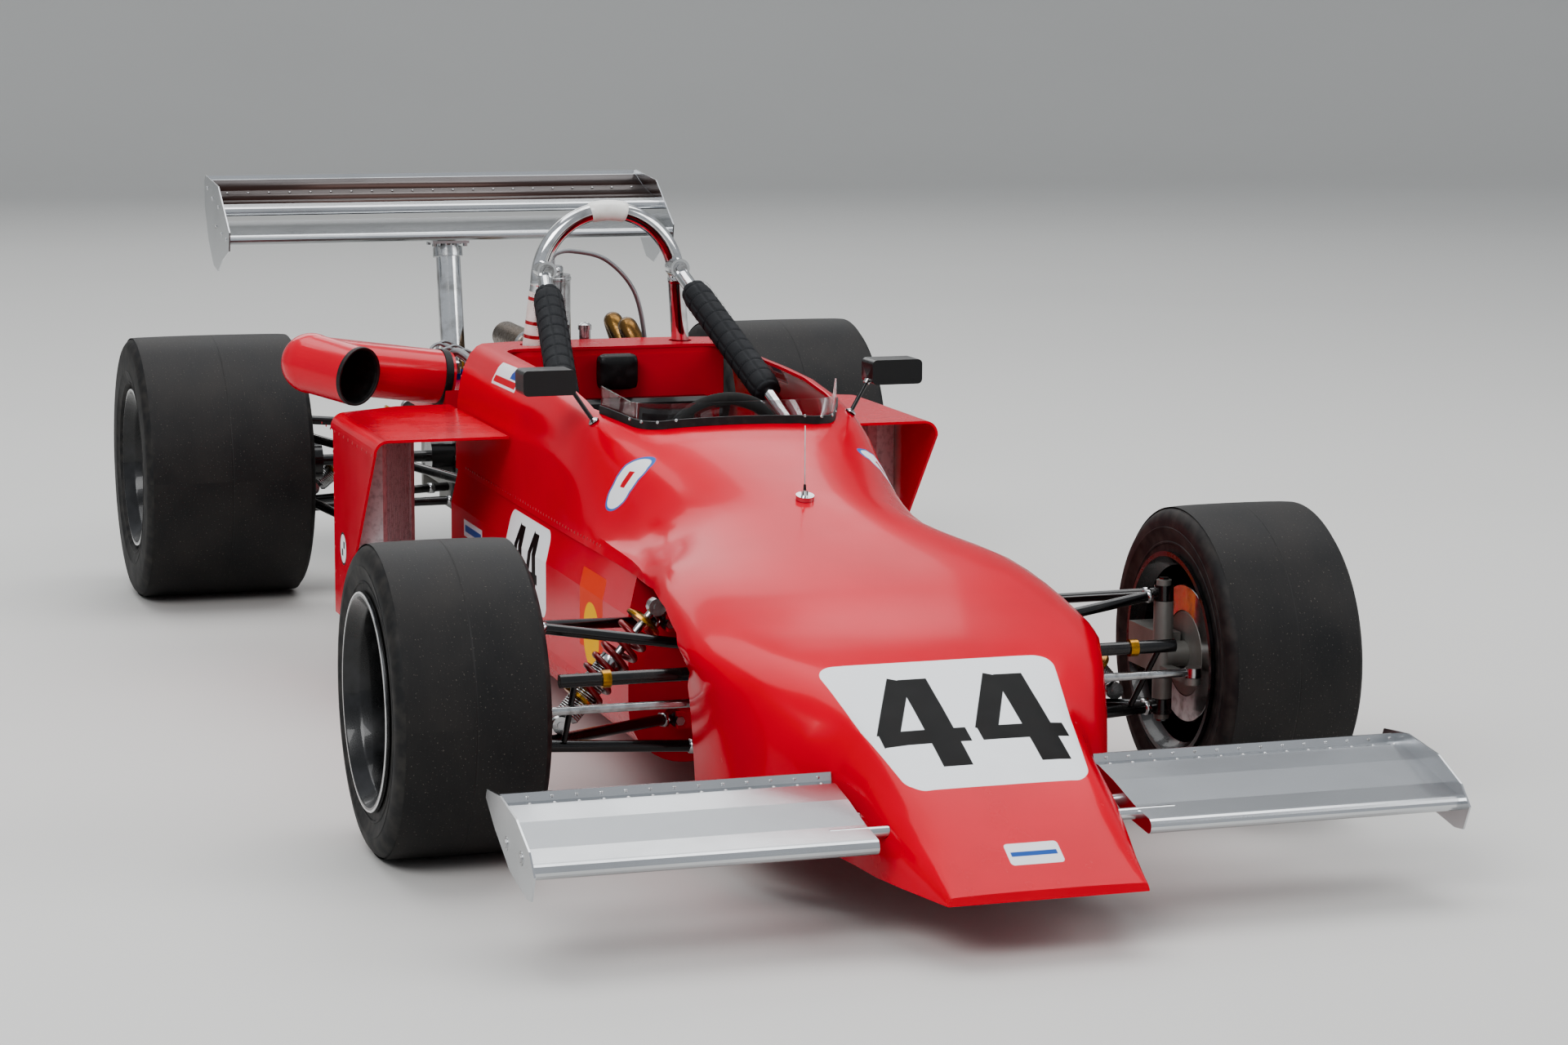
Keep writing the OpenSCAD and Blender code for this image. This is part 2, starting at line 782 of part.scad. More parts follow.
rack_r = 11;
track_rod_r = 7;
module steering_rack() {
    color("silver")
        at_front() {
            bar([-300, rack_y, rack_z], [300, rack_y, rack_z], rack_r);
            both_sides() {
                bar([300, rack_y, rack_z], [kingpin_x, rack_y, rack_z], track_rod_r);
                translate([kingpin_x, rack_y, rack_z - 8]) cylinder(h = 16, r = 14);
            }
        }
}

module front_upright() {
    arm_z = rack_z - 8 - 1;
    low = lower_joint_z + boss_h / 2 + 1;
    high = upper_joint_z - boss_h / 2 - 1;
    color("slategray")
        at_front() {
            translate([kingpin_x, 0, low]) cylinder(h = high - low, r = 17);
            for (z = [lower_joint_z, upper_joint_z])
                translate([kingpin_x, 0, z - 22]) cylinder(h = 44, r = kingpin_r);
            translate([kingpin_x, 0, lower_joint_z - 22]) cylinder(h = 9, r = 13);
            translate([kingpin_x, 0, upper_joint_z + 13]) cylinder(h = 9, r = 13);
            bar([kingpin_x, 0, front_tyre_r], [front_wheel_x + 45, 0, front_tyre_r], stub_r, 64);
            translate([kingpin_x - 11, rack_y, arm_z - 12]) cube([22, steering_arm, 12]);
            translate([kingpin_x, rack_y, arm_z - 12]) cylinder(h = 12, r = 13);
            translate([kingpin_x - 5, 5, front_tyre_r - 36]) cube([disc_x - 5 - kingpin_x, 129, 72]);
            translate([disc_x - 12, disc_r + 6, front_tyre_r - 36]) cube([34, 10, 72]);
            translate([disc_x + 10, 48, front_tyre_r - 36]) cube([12, disc_r - 38, 72]);
        }
}
module front_upright_left() front_upright();
module front_upright_right() mirror([1, 0, 0]) front_upright();
disc_x = 605;
disc_r = 118;

rear_upright_x = rear_wheel_x - 147;
module rear_uprights() {
    x = rear_upright_x;
    color("slategray")
        at_rear()
            both_sides()
                difference() {
                    union() {
                        bar([x - 20, 0, rear_tyre_r], [x + 70, 0, rear_tyre_r], 50);
                        translate([x - 15, -30, rear_tyre_r - 115]) cube([30, 60, 230]);
                        translate([x - 15, -58, rear_tyre_r - 115]) cube([30, 116, 30]);
                    }
                    bar([x - 60, 0, rear_tyre_r], [x + 120, 0, rear_tyre_r], axle_r + pin_gap, 64);
                }
}
axle_r = 28;

link_r = 10;
module rear_links() {
    face = rear_upright_x - 15;
    low = rear_tyre_r - 100;
    rod_front = -engine_bay + 3;
    color("dimgray")
        at_rear()
            both_sides() {
                bar([face - 1.5, -15, rear_tyre_r + 100], [gearbox_half_w + 1.5, -50, 362], link_r);
                bar([face - 3, 45, low], [gearbox_half_w + 2.6, 130, 200], link_r);
                bar([face - 2, -45, low], [gearbox_half_w + 1.6, -85, 200], link_r);
                bar([face - link_r - 0.6, 20, rear_tyre_r - 70],
                    [tub_half_w - 50, rod_front, 150], link_r);
                bar([face - link_r - 0.6, -5, rear_tyre_r + 70],
                    [tub_half_w - 50, rod_front, 350], link_r);
            }
}

module rear_coilovers() {
    color("red")
        at_rear()
            both_sides() {
                coilover([430, 60, 219.5], [205, 60, 400], 36);
            }
}

// ---------------------------------------------------------------- wheels

// Cross-section of a wheel's rim, disc and hub in radius and width; the disc sits at disc_a
function rim_section(half, disc_a, hub_in, hub_out, bore) = [
    [bore, hub_in], [38, hub_in], [38, disc_a - 6], [152, disc_a - 6],
    [152, -half + 22], [163, -half + 12], [168, -half], [rim_r, -half], [rim_r, -half + 6],
    [165, -half + 9], [165, -half + 32], [157, -half + 46],
    [157, half - 46], [165, half - 32], [165, half - 9], [rim_r, half - 6],
    [rim_r, half], [168, half], [163, half - 12], [152, half - 22],
    [152, disc_a + 6], [46, disc_a + 6], [40, hub_out], [bore, hub_out]];

// Half of a tyre's wall from the bead to the middle of the tread, outside then inside
function tyre_half(r, half_w, bead_a) = concat(
    [[165 + seat_gap, bead_a], [186, bead_a + 1], [200, half_w - 4], [215, half_w]],
    arc(r - 30, half_w - 30, 30, 75, 12, 6),
    [[r - 1, half_w - 45], [r, 0]]);
function tyre_inner(r, half_w, bead_a) = [
    [r - 12, 0], [r - 12, half_w - 40], [r - 22, half_w - 18], [215, half_w - 11],
    [188, bead_a - 14], [165 + seat_gap, bead_a - 22]];
function flip(list) = [for (i = [len(list) - 1 : -1 : 0]) [list[i][0], -list[i][1]]];
function back_to_front(list) = [for (i = [len(list) - 1 : -1 : 0]) list[i]];

module tyre(r, half_w, bead_a) {
    outside = tyre_half(r, half_w, bead_a);
    inside = tyre_inner(r, half_w, bead_a);
    rotate_extrude($fn = 96)
        polygon(concat(outside, flip(outside), [for (p = back_to_front(inside)) [p[0], -p[1]]], inside));
}

module on_front_wheel() {
    translate([front_wheel_x, front_y, front_tyre_r]) rotate([0, 90, 0]) children();
}
module on_rear_wheel() {
    translate([rear_wheel_x, rear_y, rear_tyre_r]) rotate([0, 90, 0]) children();
}

module front_tyre() color([0.1, 0.1, 0.1])
    on_front_wheel() tyre(front_tyre_r, front_tyre_w / 2, front_rim_half_w - 9 - seat_gap);
module rear_tyre() color([0.1, 0.1, 0.1])
    on_rear_wheel() tyre(rear_tyre_r, rear_tyre_w / 2, rear_rim_half_w - 9 - seat_gap);

module front_rim() {
    disc_a = front_rim_half_w - front_dish;
    color([0.15, 0.15, 0.16])
        on_front_wheel() {
            rotate_extrude($fn = 96)
                polygon(rim_section(front_rim_half_w, disc_a,
                    disc_x - front_wheel_x - 5, disc_a + 25, stub_r + pin_gap));
            translate([0, 0, disc_a + 25]) cylinder(h = 22, r = 24);
            translate([0, 0, disc_x - front_wheel_x - 5])
                difference() {
                    cylinder(h = 10, r = disc_r);
                    translate([0, 0, -1]) cylinder(h = 12, r = stub_r + pin_gap);
                }
        }
}

module rear_rim() {
    disc_a = rear_rim_half_w - rear_dish;
    color([0.15, 0.15, 0.16])
        on_rear_wheel() {
            rotate_extrude($fn = 96)
                polygon(rim_section(rear_rim_half_w, disc_a, -60, disc_a + 30, 20));
            translate([0, 0, -190]) cylinder(h = 190 + disc_a + 30, r = axle_r);
            translate([0, 0, disc_a + 30]) cylinder(h = 26, r = 28);
            translate([0, 0, -55]) cylinder(h = 12, r = 125);
        }
}

module driveshaft() {
    far = rear_wheel_x - 190;
    color("dimgray")
        at_rear()
            translate([0, 0, rear_tyre_r]) {
                bar([far - seat_gap - 55, 0, 0], [far - seat_gap, 0, 0], 44);
                bar([150, 0, 0], [far - 50, 0, 0], 13);
                bar([116, 0, 0], [171, 0, 0], 44);
            }
}

module front_tyre_left() front_tyre();
module front_tyre_right() mirror([1, 0, 0]) front_tyre();
module front_rim_left() front_rim();
module front_rim_right() mirror([1, 0, 0]) front_rim();
module rear_tyre_left() rear_tyre();
module rear_tyre_right() mirror([1, 0, 0]) rear_tyre();
module rear_rim_left() rear_rim();
module rear_rim_right() mirror([1, 0, 0]) rear_rim();
module driveshaft_left() driveshaft();
module driveshaft_right() mirror([1, 0, 0]) driveshaft();

// ---------------------------------------------------------------- what is drawn

tub();
bodywork();
windscreen();
screen_trim();
aerial();
mirrors();
seat();
headrest();
dashboard();
roll_hoop();
brace_pads();
front_wing_left();
front_wing_right();
rear_wing();
wing_post();
side_pod_left();
side_pod_right();
radiators();
air_intake();
engine();
gearbox();
exhaust();
catch_tanks();
front_wishbones();
front_coilovers();
anti_roll_bar();
rack_housing();
rear_uprights();
rear_links();
rear_coilovers();
steering_rack();
steering_wheel();
front_upright_left();
front_upright_right();
front_tyre_left();
front_tyre_right();
front_rim_left();
front_rim_right();
rear_tyre_left();
rear_tyre_right();
rear_rim_left();
rear_rim_right();
driveshaft_left();
driveshaft_right();
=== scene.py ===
"""Looks of an open wheel racing car: finishes, fine detail, soft pads, light and camera."""

import logging
import math
from dataclasses import dataclass, field
from enum import Enum
from typing import Callable, Sequence

import bmesh
import bpy
from mathutils import Euler, Matrix, Vector
from mathutils.bvhtree import BVHTree


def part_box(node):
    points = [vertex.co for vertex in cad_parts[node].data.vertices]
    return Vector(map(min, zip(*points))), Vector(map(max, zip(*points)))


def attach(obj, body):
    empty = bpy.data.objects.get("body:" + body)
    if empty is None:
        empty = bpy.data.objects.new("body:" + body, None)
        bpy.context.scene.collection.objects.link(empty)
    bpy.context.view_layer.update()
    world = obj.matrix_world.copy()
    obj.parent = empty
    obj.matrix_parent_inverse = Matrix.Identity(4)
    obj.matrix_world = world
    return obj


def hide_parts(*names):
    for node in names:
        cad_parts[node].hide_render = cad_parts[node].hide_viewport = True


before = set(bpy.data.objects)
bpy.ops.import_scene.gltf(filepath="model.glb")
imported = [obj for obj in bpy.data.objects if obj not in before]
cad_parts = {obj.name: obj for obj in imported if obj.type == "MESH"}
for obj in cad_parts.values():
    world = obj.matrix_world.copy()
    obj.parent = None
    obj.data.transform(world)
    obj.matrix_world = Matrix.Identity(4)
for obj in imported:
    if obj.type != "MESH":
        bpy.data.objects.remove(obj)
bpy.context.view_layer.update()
LOG = logging.getLogger("racing_car")

Pair = tuple[float, float]
Triple = tuple[float, float, float]


class Side(Enum):
    """The car's own left and right, as the sign of X."""

    LEFT = 1.0
    RIGHT = -1.0

    @property
    def word(self) -> str:
        """The side's name as the bodies and nodes write it."""
        return self.name.lower()


class Head(Enum):
    """The kinds of fastener head that are repeated over the car."""

    DOME = "dome"
    HEX = "hex"
    CUP = "cup"


# ---------------------------------------------------------------- places


def middle(node: str) -> Vector:
    """The middle of a CAD node's box."""
    low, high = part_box(node)
    return (Vector(low) + Vector(high)) / 2


FRONT_HUB = middle("front_tyre_left")
REAR_HUB = middle("rear_tyre_left")


def front(x: float, y: float, z: float) -> Vector:
    """A place given in millimetres from the front axle's middle on the ground.

    Args:
        x: Millimetres to the car's left.
        y: Millimetres behind the front axle.
        z: Millimetres above the ground.

    Returns:
        The place in metres in the car's frame.
    """
    return Vector((x / 1000, FRONT_HUB.y + y / 1000, z / 1000))


def rear(x: float, y: float, z: float) -> Vector:
    """A place given in millimetres from the rear axle's middle on the ground."""
    return Vector((x / 1000, REAR_HUB.y + y / 1000, z / 1000))


def moved(place: Vector | Triple) -> Matrix:
    """An unturned frame at a place."""
    return Matrix.Translation(place)


def standing(place: Vector) -> Matrix:
    """A frame at a place whose X runs across the car, Y up and Z rearwards."""
    return moved(place) @ Matrix.Rotation(math.radians(90), 4, "X") @ Matrix.Diagonal((1, 1, -1, 1))


def hexagon(radius: float) -> list[Pair]:
    """The six corners of a nut or sleeve."""
    return [(radius * math.cos(math.tau * k / 6), radius * math.sin(math.tau * k / 6)) for k in range(6)]


def facing(place: Vector, axis: Vector) -> Matrix:
    """A frame at a place whose Z points along an axis."""
    return moved(place) @ axis.to_track_quat("Z", "Y").to_matrix().to_4x4()


# ---------------------------------------------------------------- shading


def add(
    tree: bpy.types.NodeTree, kind: str, inputs: dict | None = None, **settings: object,
) -> bpy.types.Node:
    """Adds a node with its settings, and fills or links its inputs.

    Args:
        tree: The tree that gets the node.
        kind: The node's type name.
        inputs: Values or output sockets by input name or number.
        **settings: Plain properties of the node.

    Returns:
        The new node.
    """
    made = tree.nodes.new(kind)
    for key, value in settings.items():
        setattr(made, key, value)
    for key, value in (inputs or {}).items():
        if isinstance(value, bpy.types.NodeSocket):
            tree.links.new(value, made.inputs[key])
        else:
            made.inputs[key].default_value = value
    return made


def linear(hex_colour: str) -> tuple[float, float, float, float]:
    """Turns an sRGB hex colour into linear red, green, blue and alpha.

    Args:
        hex_colour: The colour, such as #d90727.

    Returns:
        The linear colour.
    """
    parts = [int(hex_colour[i : i + 2], 16) / 255 for i in (1, 3, 5)]
    r, g, b = (c / 12.92 if c <= 0.04045 else ((c + 0.055) / 1.055) ** 2.4 for c in parts)
    return (r, g, b, 1.0)


class Shader:
    """One material's node tree, with the few steps that every finish takes."""

    def __init__(self, name: str) -> None:
        """Makes an empty material with its shader and output.

        Args:
            name: The material's name.
        """
        self.material = bpy.data.materials.new(name)
        self.material.use_nodes = True
        self.tree = self.material.node_tree
        self.tree.nodes.clear()
        self.surface = add(self.tree, "ShaderNodeBsdfPrincipled")
        add(self.tree, "ShaderNodeOutputMaterial", {"Surface": self.surface.outputs[0]})
        self.place = add(self.tree, "ShaderNodeTexCoord").outputs["Object"]

    def node(
        self, kind: str, *values: object, out: int | str = 0, **settings: object,
    ) -> bpy.types.NodeSocket:
        """Adds a node of this material with its settings and links.

        Args:
            kind: The node's type name, without its common beginning.
            *values: Inputs in order, or one dict of them by name or number.
            out: Name or number of the output that is wanted.
            **settings: Plain properties of the node.

        Returns:
            The wanted output socket.
        """
        inputs = values[0] if values and isinstance(values[0], dict) else dict(enumerate(values))
        inputs = {key: linear(value) if isinstance(value, str) else value for key, value in inputs.items()}
        return add(self.tree, "ShaderNode" + kind, inputs, **settings).outputs[out]

    def grain(
        self, size_mm: float, detail: float = 4.0, stretch: Triple = (1, 1, 1),
        place: bpy.types.NodeSocket | None = None,
    ) -> bpy.types.NodeSocket:
        """Grey noise whose features are about size_mm across.

        Args:
            size_mm: Size of one feature in millimetres.
            detail: Octaves of finer noise.
            stretch: Scale of the pattern along each axis.
            place: Coordinates, the object's own where left out.

        Returns:
            The noise's factor socket.
        """
        turned = self.node("Mapping", {"Vector": place or self.place, "Scale": stretch})
        return self.node("TexNoise", {"Vector": turned, "Scale": 1000 / size_mm, "Detail": detail})

    def relief(self, height: bpy.types.NodeSocket, depth_mm: float) -> None:
        """Raises the surface by a pattern, on top of any bump it has.

        Args:
            height: Pattern, from 0 to 1.
            depth_mm: Depth of the full pattern in millimetres.
        """
        under = self.surface.inputs["Normal"]
        inputs = {"Height": height, "Strength": 1.0, "Distance": depth_mm / 1000}
        if under.is_linked:
            inputs["Normal"] = under.links[0].from_socket
        self.tree.links.new(self.node("Bump", inputs), under)

    def set(self, **inputs: object) -> None:
        """Fills or links the shader's own sockets, named with underscores for spaces.

        Args:
            **inputs: Values, hex colours or output sockets by the socket's name.
        """
        for key, value in inputs.items():
            socket = self.surface.inputs[key.replace("_", " ")]
            if isinstance(value, bpy.types.NodeSocket):
                self.tree.links.new(value, socket)
            else:
                socket.default_value = linear(value) if isinstance(value, str) else value


@dataclass(frozen=True)
class Finish:
    """A plain worked surface: two tones, grain, fine scratches and dull patches."""

    name: str
    colour: str
    worn: str
    roughness: float = 0.4
    spread: float = 0.12
    metallic: float = 0.0
    grain_mm: float = 30.0
    tooth_mm: float = 1.2
    depth_mm: float = 0.05
    coat: float = 0.0
    stretch: Triple = (1, 1, 1)
    wear: float = 0.5

    def paint(self, shader: Shader) -> None:
        """Sets colour, gloss and bump on a new shader.

        Args:
            shader: The new material.
        """
        patches = shader.grain(self.grain_mm, 6, self.stretch)
        tooth = shader.grain(self.tooth_mm, 3, self.stretch)
        share = shader.node("MapRange", patches, 0.62 - 0.3 * self.wear, 0.8, 0.0, 1.0)
        shader.set(
            Base_Color=shader.node("Mix", {0: share, 6: self.colour, 7: self.worn}, out=2, data_type="RGBA"),
            Roughness=shader.node(
                "MapRange",
                shader.node(
                    "Math", shader.node("Math", patches, 0.7, operation="MULTIPLY"),
                    shader.node("Math", tooth, 0.3, operation="MULTIPLY"), operation="ADD",
                ),
                0.25, 0.75, max(0.02, self.roughness - self.spread), self.roughness + self.spread,
            ),
            Metallic=self.metallic,
            Coat_Weight=self.coat,
            Coat_Roughness=0.05,
        )
        shader.relief(tooth, self.depth_mm)

    def material(self) -> bpy.types.Material:
        """The finish's material, made once.

        Returns:
            The material.
        """
        known = bpy.data.materials.get(self.name)
        if known is None:
            shader = Shader(self.name)
            self.paint(shader)
            known = shader.material
        return known


@dataclass(frozen=True)
class Mark:
    """A rounded patch laid flat on the paint, seen along one axis, in metres."""

    centre: Pair
    half: Pair
    colour: str
    along: str = "Z"
    corner: float = 0.02
    turn: float = 0.0
    taper: float = 0.0
    window: tuple[float, float] = (-9.0, 9.0)
    both_sides: bool = False
    shift: float = 0.0


@dataclass(frozen=True)
class Enamel(Finish):
    """Sprayed two-pack enamel: a deep, wet gloss over slight orange peel, with flat race panels."""

    marks: tuple[Mark, ...] = ()

    def mask(self, shader: Shader, mark: Mark, axes: dict) -> bpy.types.NodeSocket:
        """One inside a mark, zero outside it.

        Args:
            shader: The material being painted.
            mark: The patch.
            axes: The object coordinates X, Y and Z as sockets.

        Returns:
            The patch's mask.
        """
        sign = shader.node("Math", axes["X"], operation="SIGN")
        if mark.along == "Z":
            u, v, depth = axes["X"], axes["Y"], axes["Z"]
        else:
            u, v, depth = shader.node("Math", axes["Y"], sign, operation="MULTIPLY"), axes["Z"], axes["X"]
            if mark.both_sides:
                depth = shader.node("Math", depth, operation="ABSOLUTE")
        centre_u = mark.centre[0] + mark.shift
        if mark.both_sides:
            centre_u = shader.node("Math", sign, mark.centre[0], mark.shift, operation="MULTIPLY_ADD")
        u = shader.node("Math", u, centre_u, operation="SUBTRACT")
        v = shader.node("Math", v, mark.centre[1], operation="SUBTRACT")
        if mark.turn:
            c, s = math.cos(mark.turn), math.sin(mark.turn)
            u, v = (
                shader.node(
                    "Math", shader.node("Math", u, c, operation="MULTIPLY"),
                    shader.node("Math", v, s, operation="MULTIPLY"), operation="ADD",
                ),
                shader.node(
                    "Math", shader.node("Math", v, c, operation="MULTIPLY"),
                    shader.node("Math", u, s, operation="MULTIPLY"), operation="SUBTRACT",
                ),
            )
        if mark.taper:
            u = shader.node(
                "Math", u, shader.node(
                    "Math", v, mark.taper, 1.0, operation="MULTIPLY_ADD",
                ), operation="DIVIDE",
            )
        outside = []
        for value, half in ((u, mark.half[0]), (v, mark.half[1])):
            over = shader.node(
                "Math", shader.node(
                    "Math", value, operation="ABSOLUTE",
                ), half - mark.corner, operation="SUBTRACT",
            )
            outside.append(shader.node("Math", over, 0.0, operation="MAXIMUM"))
        squares = [shader.node("Math", o, o, operation="MULTIPLY") for o in outside]
        distance = shader.node("Math", shader.node("Math", *squares, operation="ADD"), operation="SQRT")
        inside = shader.node("MapRange", distance, mark.corner - 0.0006, mark.corner + 0.0006, 1.0, 0.0)
        for kind, edge in (("GREATER_THAN", mark.window[0]), ("LESS_THAN", mark.window[1])):
            inside = shader.node(
                "Math", inside, shader.node("Math", depth, edge, operation=kind), operation="MULTIPLY",
            )
        return inside

    def paint(self, shader: Shader) -> None:
        """Lays the marks over the enamel, then dust and orange peel over both.

        Args:
            shader: The new material.
        """
        split = shader.node("SeparateXYZ", shader.place).node
        axes = {key: split.outputs[key] for key in "XYZ"}
        shade = shader.node(
            "Mix",
            {
                0: shader.node("MapRange", shader.grain(260, 3), 0.3, 0.7, 0.0, 1.0), 6: self.colour,
                7: self.worn,
            },
            out=2, data_type="RGBA",
        )
        flat: object = 0.0
        for mark in self.marks:
            share = self.mask(shader, mark, axes)
            shade = shader.node("Mix", {0: share, 6: shade, 7: mark.colour}, out=2, data_type="RGBA")
            flat = shader.node("Math", flat, share, operation="MAXIMUM")
        # Dust gathers towards the sills and takes the wet shine off the red there.
        low = shader.node("MapRange", axes["Z"], 0.08, 0.34, 0.5, 0.0)
        dust = shader.node(
            "Math", low, shader.node(
                "MapRange", shader.grain(45, 8), 0.45, 0.7, 0.0, 1.0,
            ), operation="MULTIPLY",
        )
        shade = shader.node(
            "Mix", {0: shader.node("Math", dust, 0.1, operation="MULTIPLY"), 6: shade, 7: "#7a4a3e"}, out=2,
            data_type="RGBA",
        )
        dull = shader.node(
            "Math", dust, 0.15, shader.node("MapRange", shader.grain(60, 7), 0.3, 0.8, 0.2, 0.27),
            operation="MULTIPLY_ADD",
        )
        shader.set(
            Base_Color=shade,
            Roughness=shader.node("Math", flat, 0.22, dull, operation="MULTIPLY_ADD"),
            Specular_IOR_Level=0.17,
            Coat_Weight=shader.node("Math", flat, -self.coat, self.coat, operation="MULTIPLY_ADD"),
            Coat_Roughness=0.07,
        )
        # Highlights waver slightly on orange peel.
        # Real peel is about 2 mm across: drawn at 5 mm, 0.02 mm deep.
        shader.relief(shader.grain(5, 2), 0.02)
        shader.relief(flat, 0.15)


@dataclass(frozen=True)
class Brushed(Finish):
    """Sheet or bar metal with fine lines along one direction."""

    lines: Triple = (0.03, 1, 1)

    def paint(self, shader: Shader) -> None:
        """Adds the brushed lines to the plain finish.

        Args:
            shader: The new material.
        """
        Finish.paint(self, shader)
        strokes = shader.grain(self.tooth_mm, 2, self.lines)
        shader.relief(strokes, self.depth_mm)


@dataclass(frozen=True)
class Weave(Finish):
    """Woven cloth or fibre: two crossing sets of threads at a true pitch."""

    pitch_mm: float = 2.4
    relief_mm: float = 0.2

    def paint(self, shader: Shader) -> None:
        """Crosses two thread patterns over the plain finish.

        Args:
            shader: The new material.
        """
        Finish.paint(self, shader)
        split = shader.node("SeparateXYZ", shader.place).node
        turn = 2 * math.pi / (self.pitch_mm / 1000)
        across = shader.node("Math", split.outputs["X"], split.outputs["Z"], operation="ADD")
        along = shader.node(
            "Math", split.outputs["Y"],
            shader.node(
                "Math", split.outputs["Z"], split.outputs["X"], operation="SUBTRACT",
            ), operation="ADD",
        )
        waves = [
            shader.node("Math", shader.node("Math", s, turn, operation="MULTIPLY"), operation="SINE")
            for s in (across, along)
        ]
        threads = shader.node("Math", *waves, operation="MULTIPLY")
        height = shader.node("MapRange", threads, -1, 1, 0.0, 1.0)
        shade = shader.node(
            "Mix", {
                0: shader.node("Math", height, 0.55, operation="MULTIPLY"), 6: self.colour, 7: self.worn,
            }, out=2,
            data_type="RGBA",
        )
        shader.set(Base_Color=shade)
        shader.relief(height, self.relief_mm)


@dataclass(frozen=True)
class Glazing(Finish):
    """Clear blown acrylic: thin, slightly blue and dusty in specks."""

    def paint(self, shader: Shader) -> None:
        """Sets a thin clear sheet with fine dust and a slight waviness.

        Args:
            shader: The new material.
        """
        # Dust greys the clear sheet in specks, which shows that something is there.
        dust = shader.node("MapRange", shader.grain(12, 8), 0.5, 0.8, 0.0, 1.0)
        shader.set(
            Base_Color=shader.node(
                "Mix", {
                    0: shader.node("Math", dust, 0.3, operation="MULTIPLY"), 6: self.colour, 7: self.worn,
                },
                out=2, data_type="RGBA",
            ),
            Roughness=shader.node("MapRange", dust, 0, 1, 0.03, 0.18),
            Transmission_Weight=1.0,
            IOR=1.3,
            Alpha=0.45,
        )
        shader.relief(shader.grain(60, 2), 0.1)


@dataclass(frozen=True)
class Rubber(Finish):
    """Race rubber: dull black tread with scuffs and pick-up, smoother sidewalls with a faded ring."""

    half_tread: float = 0.1

    def paint(self, shader: Shader) -> None:
        """Uses the tyre's own wrap map: U runs round it and V across it, in metres.

        Args:
            shader: The new material.
        """
        wrap = shader.node("UVMap", uv_map="wrap")
        split = shader.node("SeparateXYZ", wrap).node
        across = shader.node("Math", split.outputs["Y"], operation="ABSOLUTE")
        tread = shader.node("MapRange", across, self.half_tread - 0.012, self.half_tread + 0.006, 1.0, 0.0)
        # Scrub runs round the tread and greys it in faint streaks, some 30 mm long and 4 mm wide.
        scrub = shader.grain(4, 3, (0.12, 1, 1), wrap)
        blotch = shader.grain(110, 5, (0.7, 1, 1), wrap)
        picked = shader.node("MapRange", shader.grain(4, 2, (1, 1, 1), wrap), 0.66, 0.7, 0.0, 1.0)
        worn = shader.node(
            "Math", tread,
            shader.node(
                "MapRange",
                shader.node(
                    "Math", shader.node("Math", scrub, 0.12, operation="MULTIPLY"),
                    shader.node("Math", blotch, 0.88, operation="MULTIPLY"), operation="ADD",
                ),
                0.35, 0.75, 0.0, 1.0,
            ),
            operation="MULTIPLY",
        )
        shade = shader.node("Mix", {0: worn, 6: self.colour, 7: self.worn}, out=2, data_type="RGBA")
        shade = shader.node(
            "Mix",
            {
                0: shader.node(
                    "Math", shader.node(
                        "Math", picked, tread, operation="MULTIPLY",
                    ), 0.4, operation="MULTIPLY",
                ),
                6: shade, 7: "#7a746c",
            },
            out=2, data_type="RGBA",
        )
        side_dust = shader.node(
            "Math", shader.node("MapRange", shader.grain(28, 7, (1, 1, 1), wrap), 0.4, 0.75, 0.0, 1.0), 0.35,
            operation="MULTIPLY",
        )
        shade = shader.node(
            "Mix",
            {
                0: shader.node(
                    "Math", shader.node(
                        "Math", 1.0, tread, operation="SUBTRACT",
                    ), side_dust, operation="MULTIPLY",
                ),
                6: shade, 7: "#55504a",
            },
            out=2, data_type="RGBA",
        )
        shader.set(
            Base_Color=shade,
            Roughness=shader.node(
                "Math", shader.node("MapRange", blotch, 0.2, 0.8, 0.5, 0.72),
                shader.node("Math", worn, 0.1, operation="MULTIPLY"), operation="SUBTRACT",
            ),
            Specular_IOR_Level=0.4,
        )
        seam = shader.node("MapRange", across, 0.0, 0.0016, 1.0, 0.0)
        shader.relief(
            shader.node(
                "Math", seam,
                shader.node(
                    "Math", shader.node(
                        "Math", picked, tread, operation="MULTIPLY",
                    ), 0.8, operation="MULTIPLY",
                ),
                operation="ADD",
            ),
            0.6,
        )
        shader.relief(scrub, 0.05)
        shader.relief(shader.grain(1.2, 2, (1, 1, 1), wrap), 0.06)


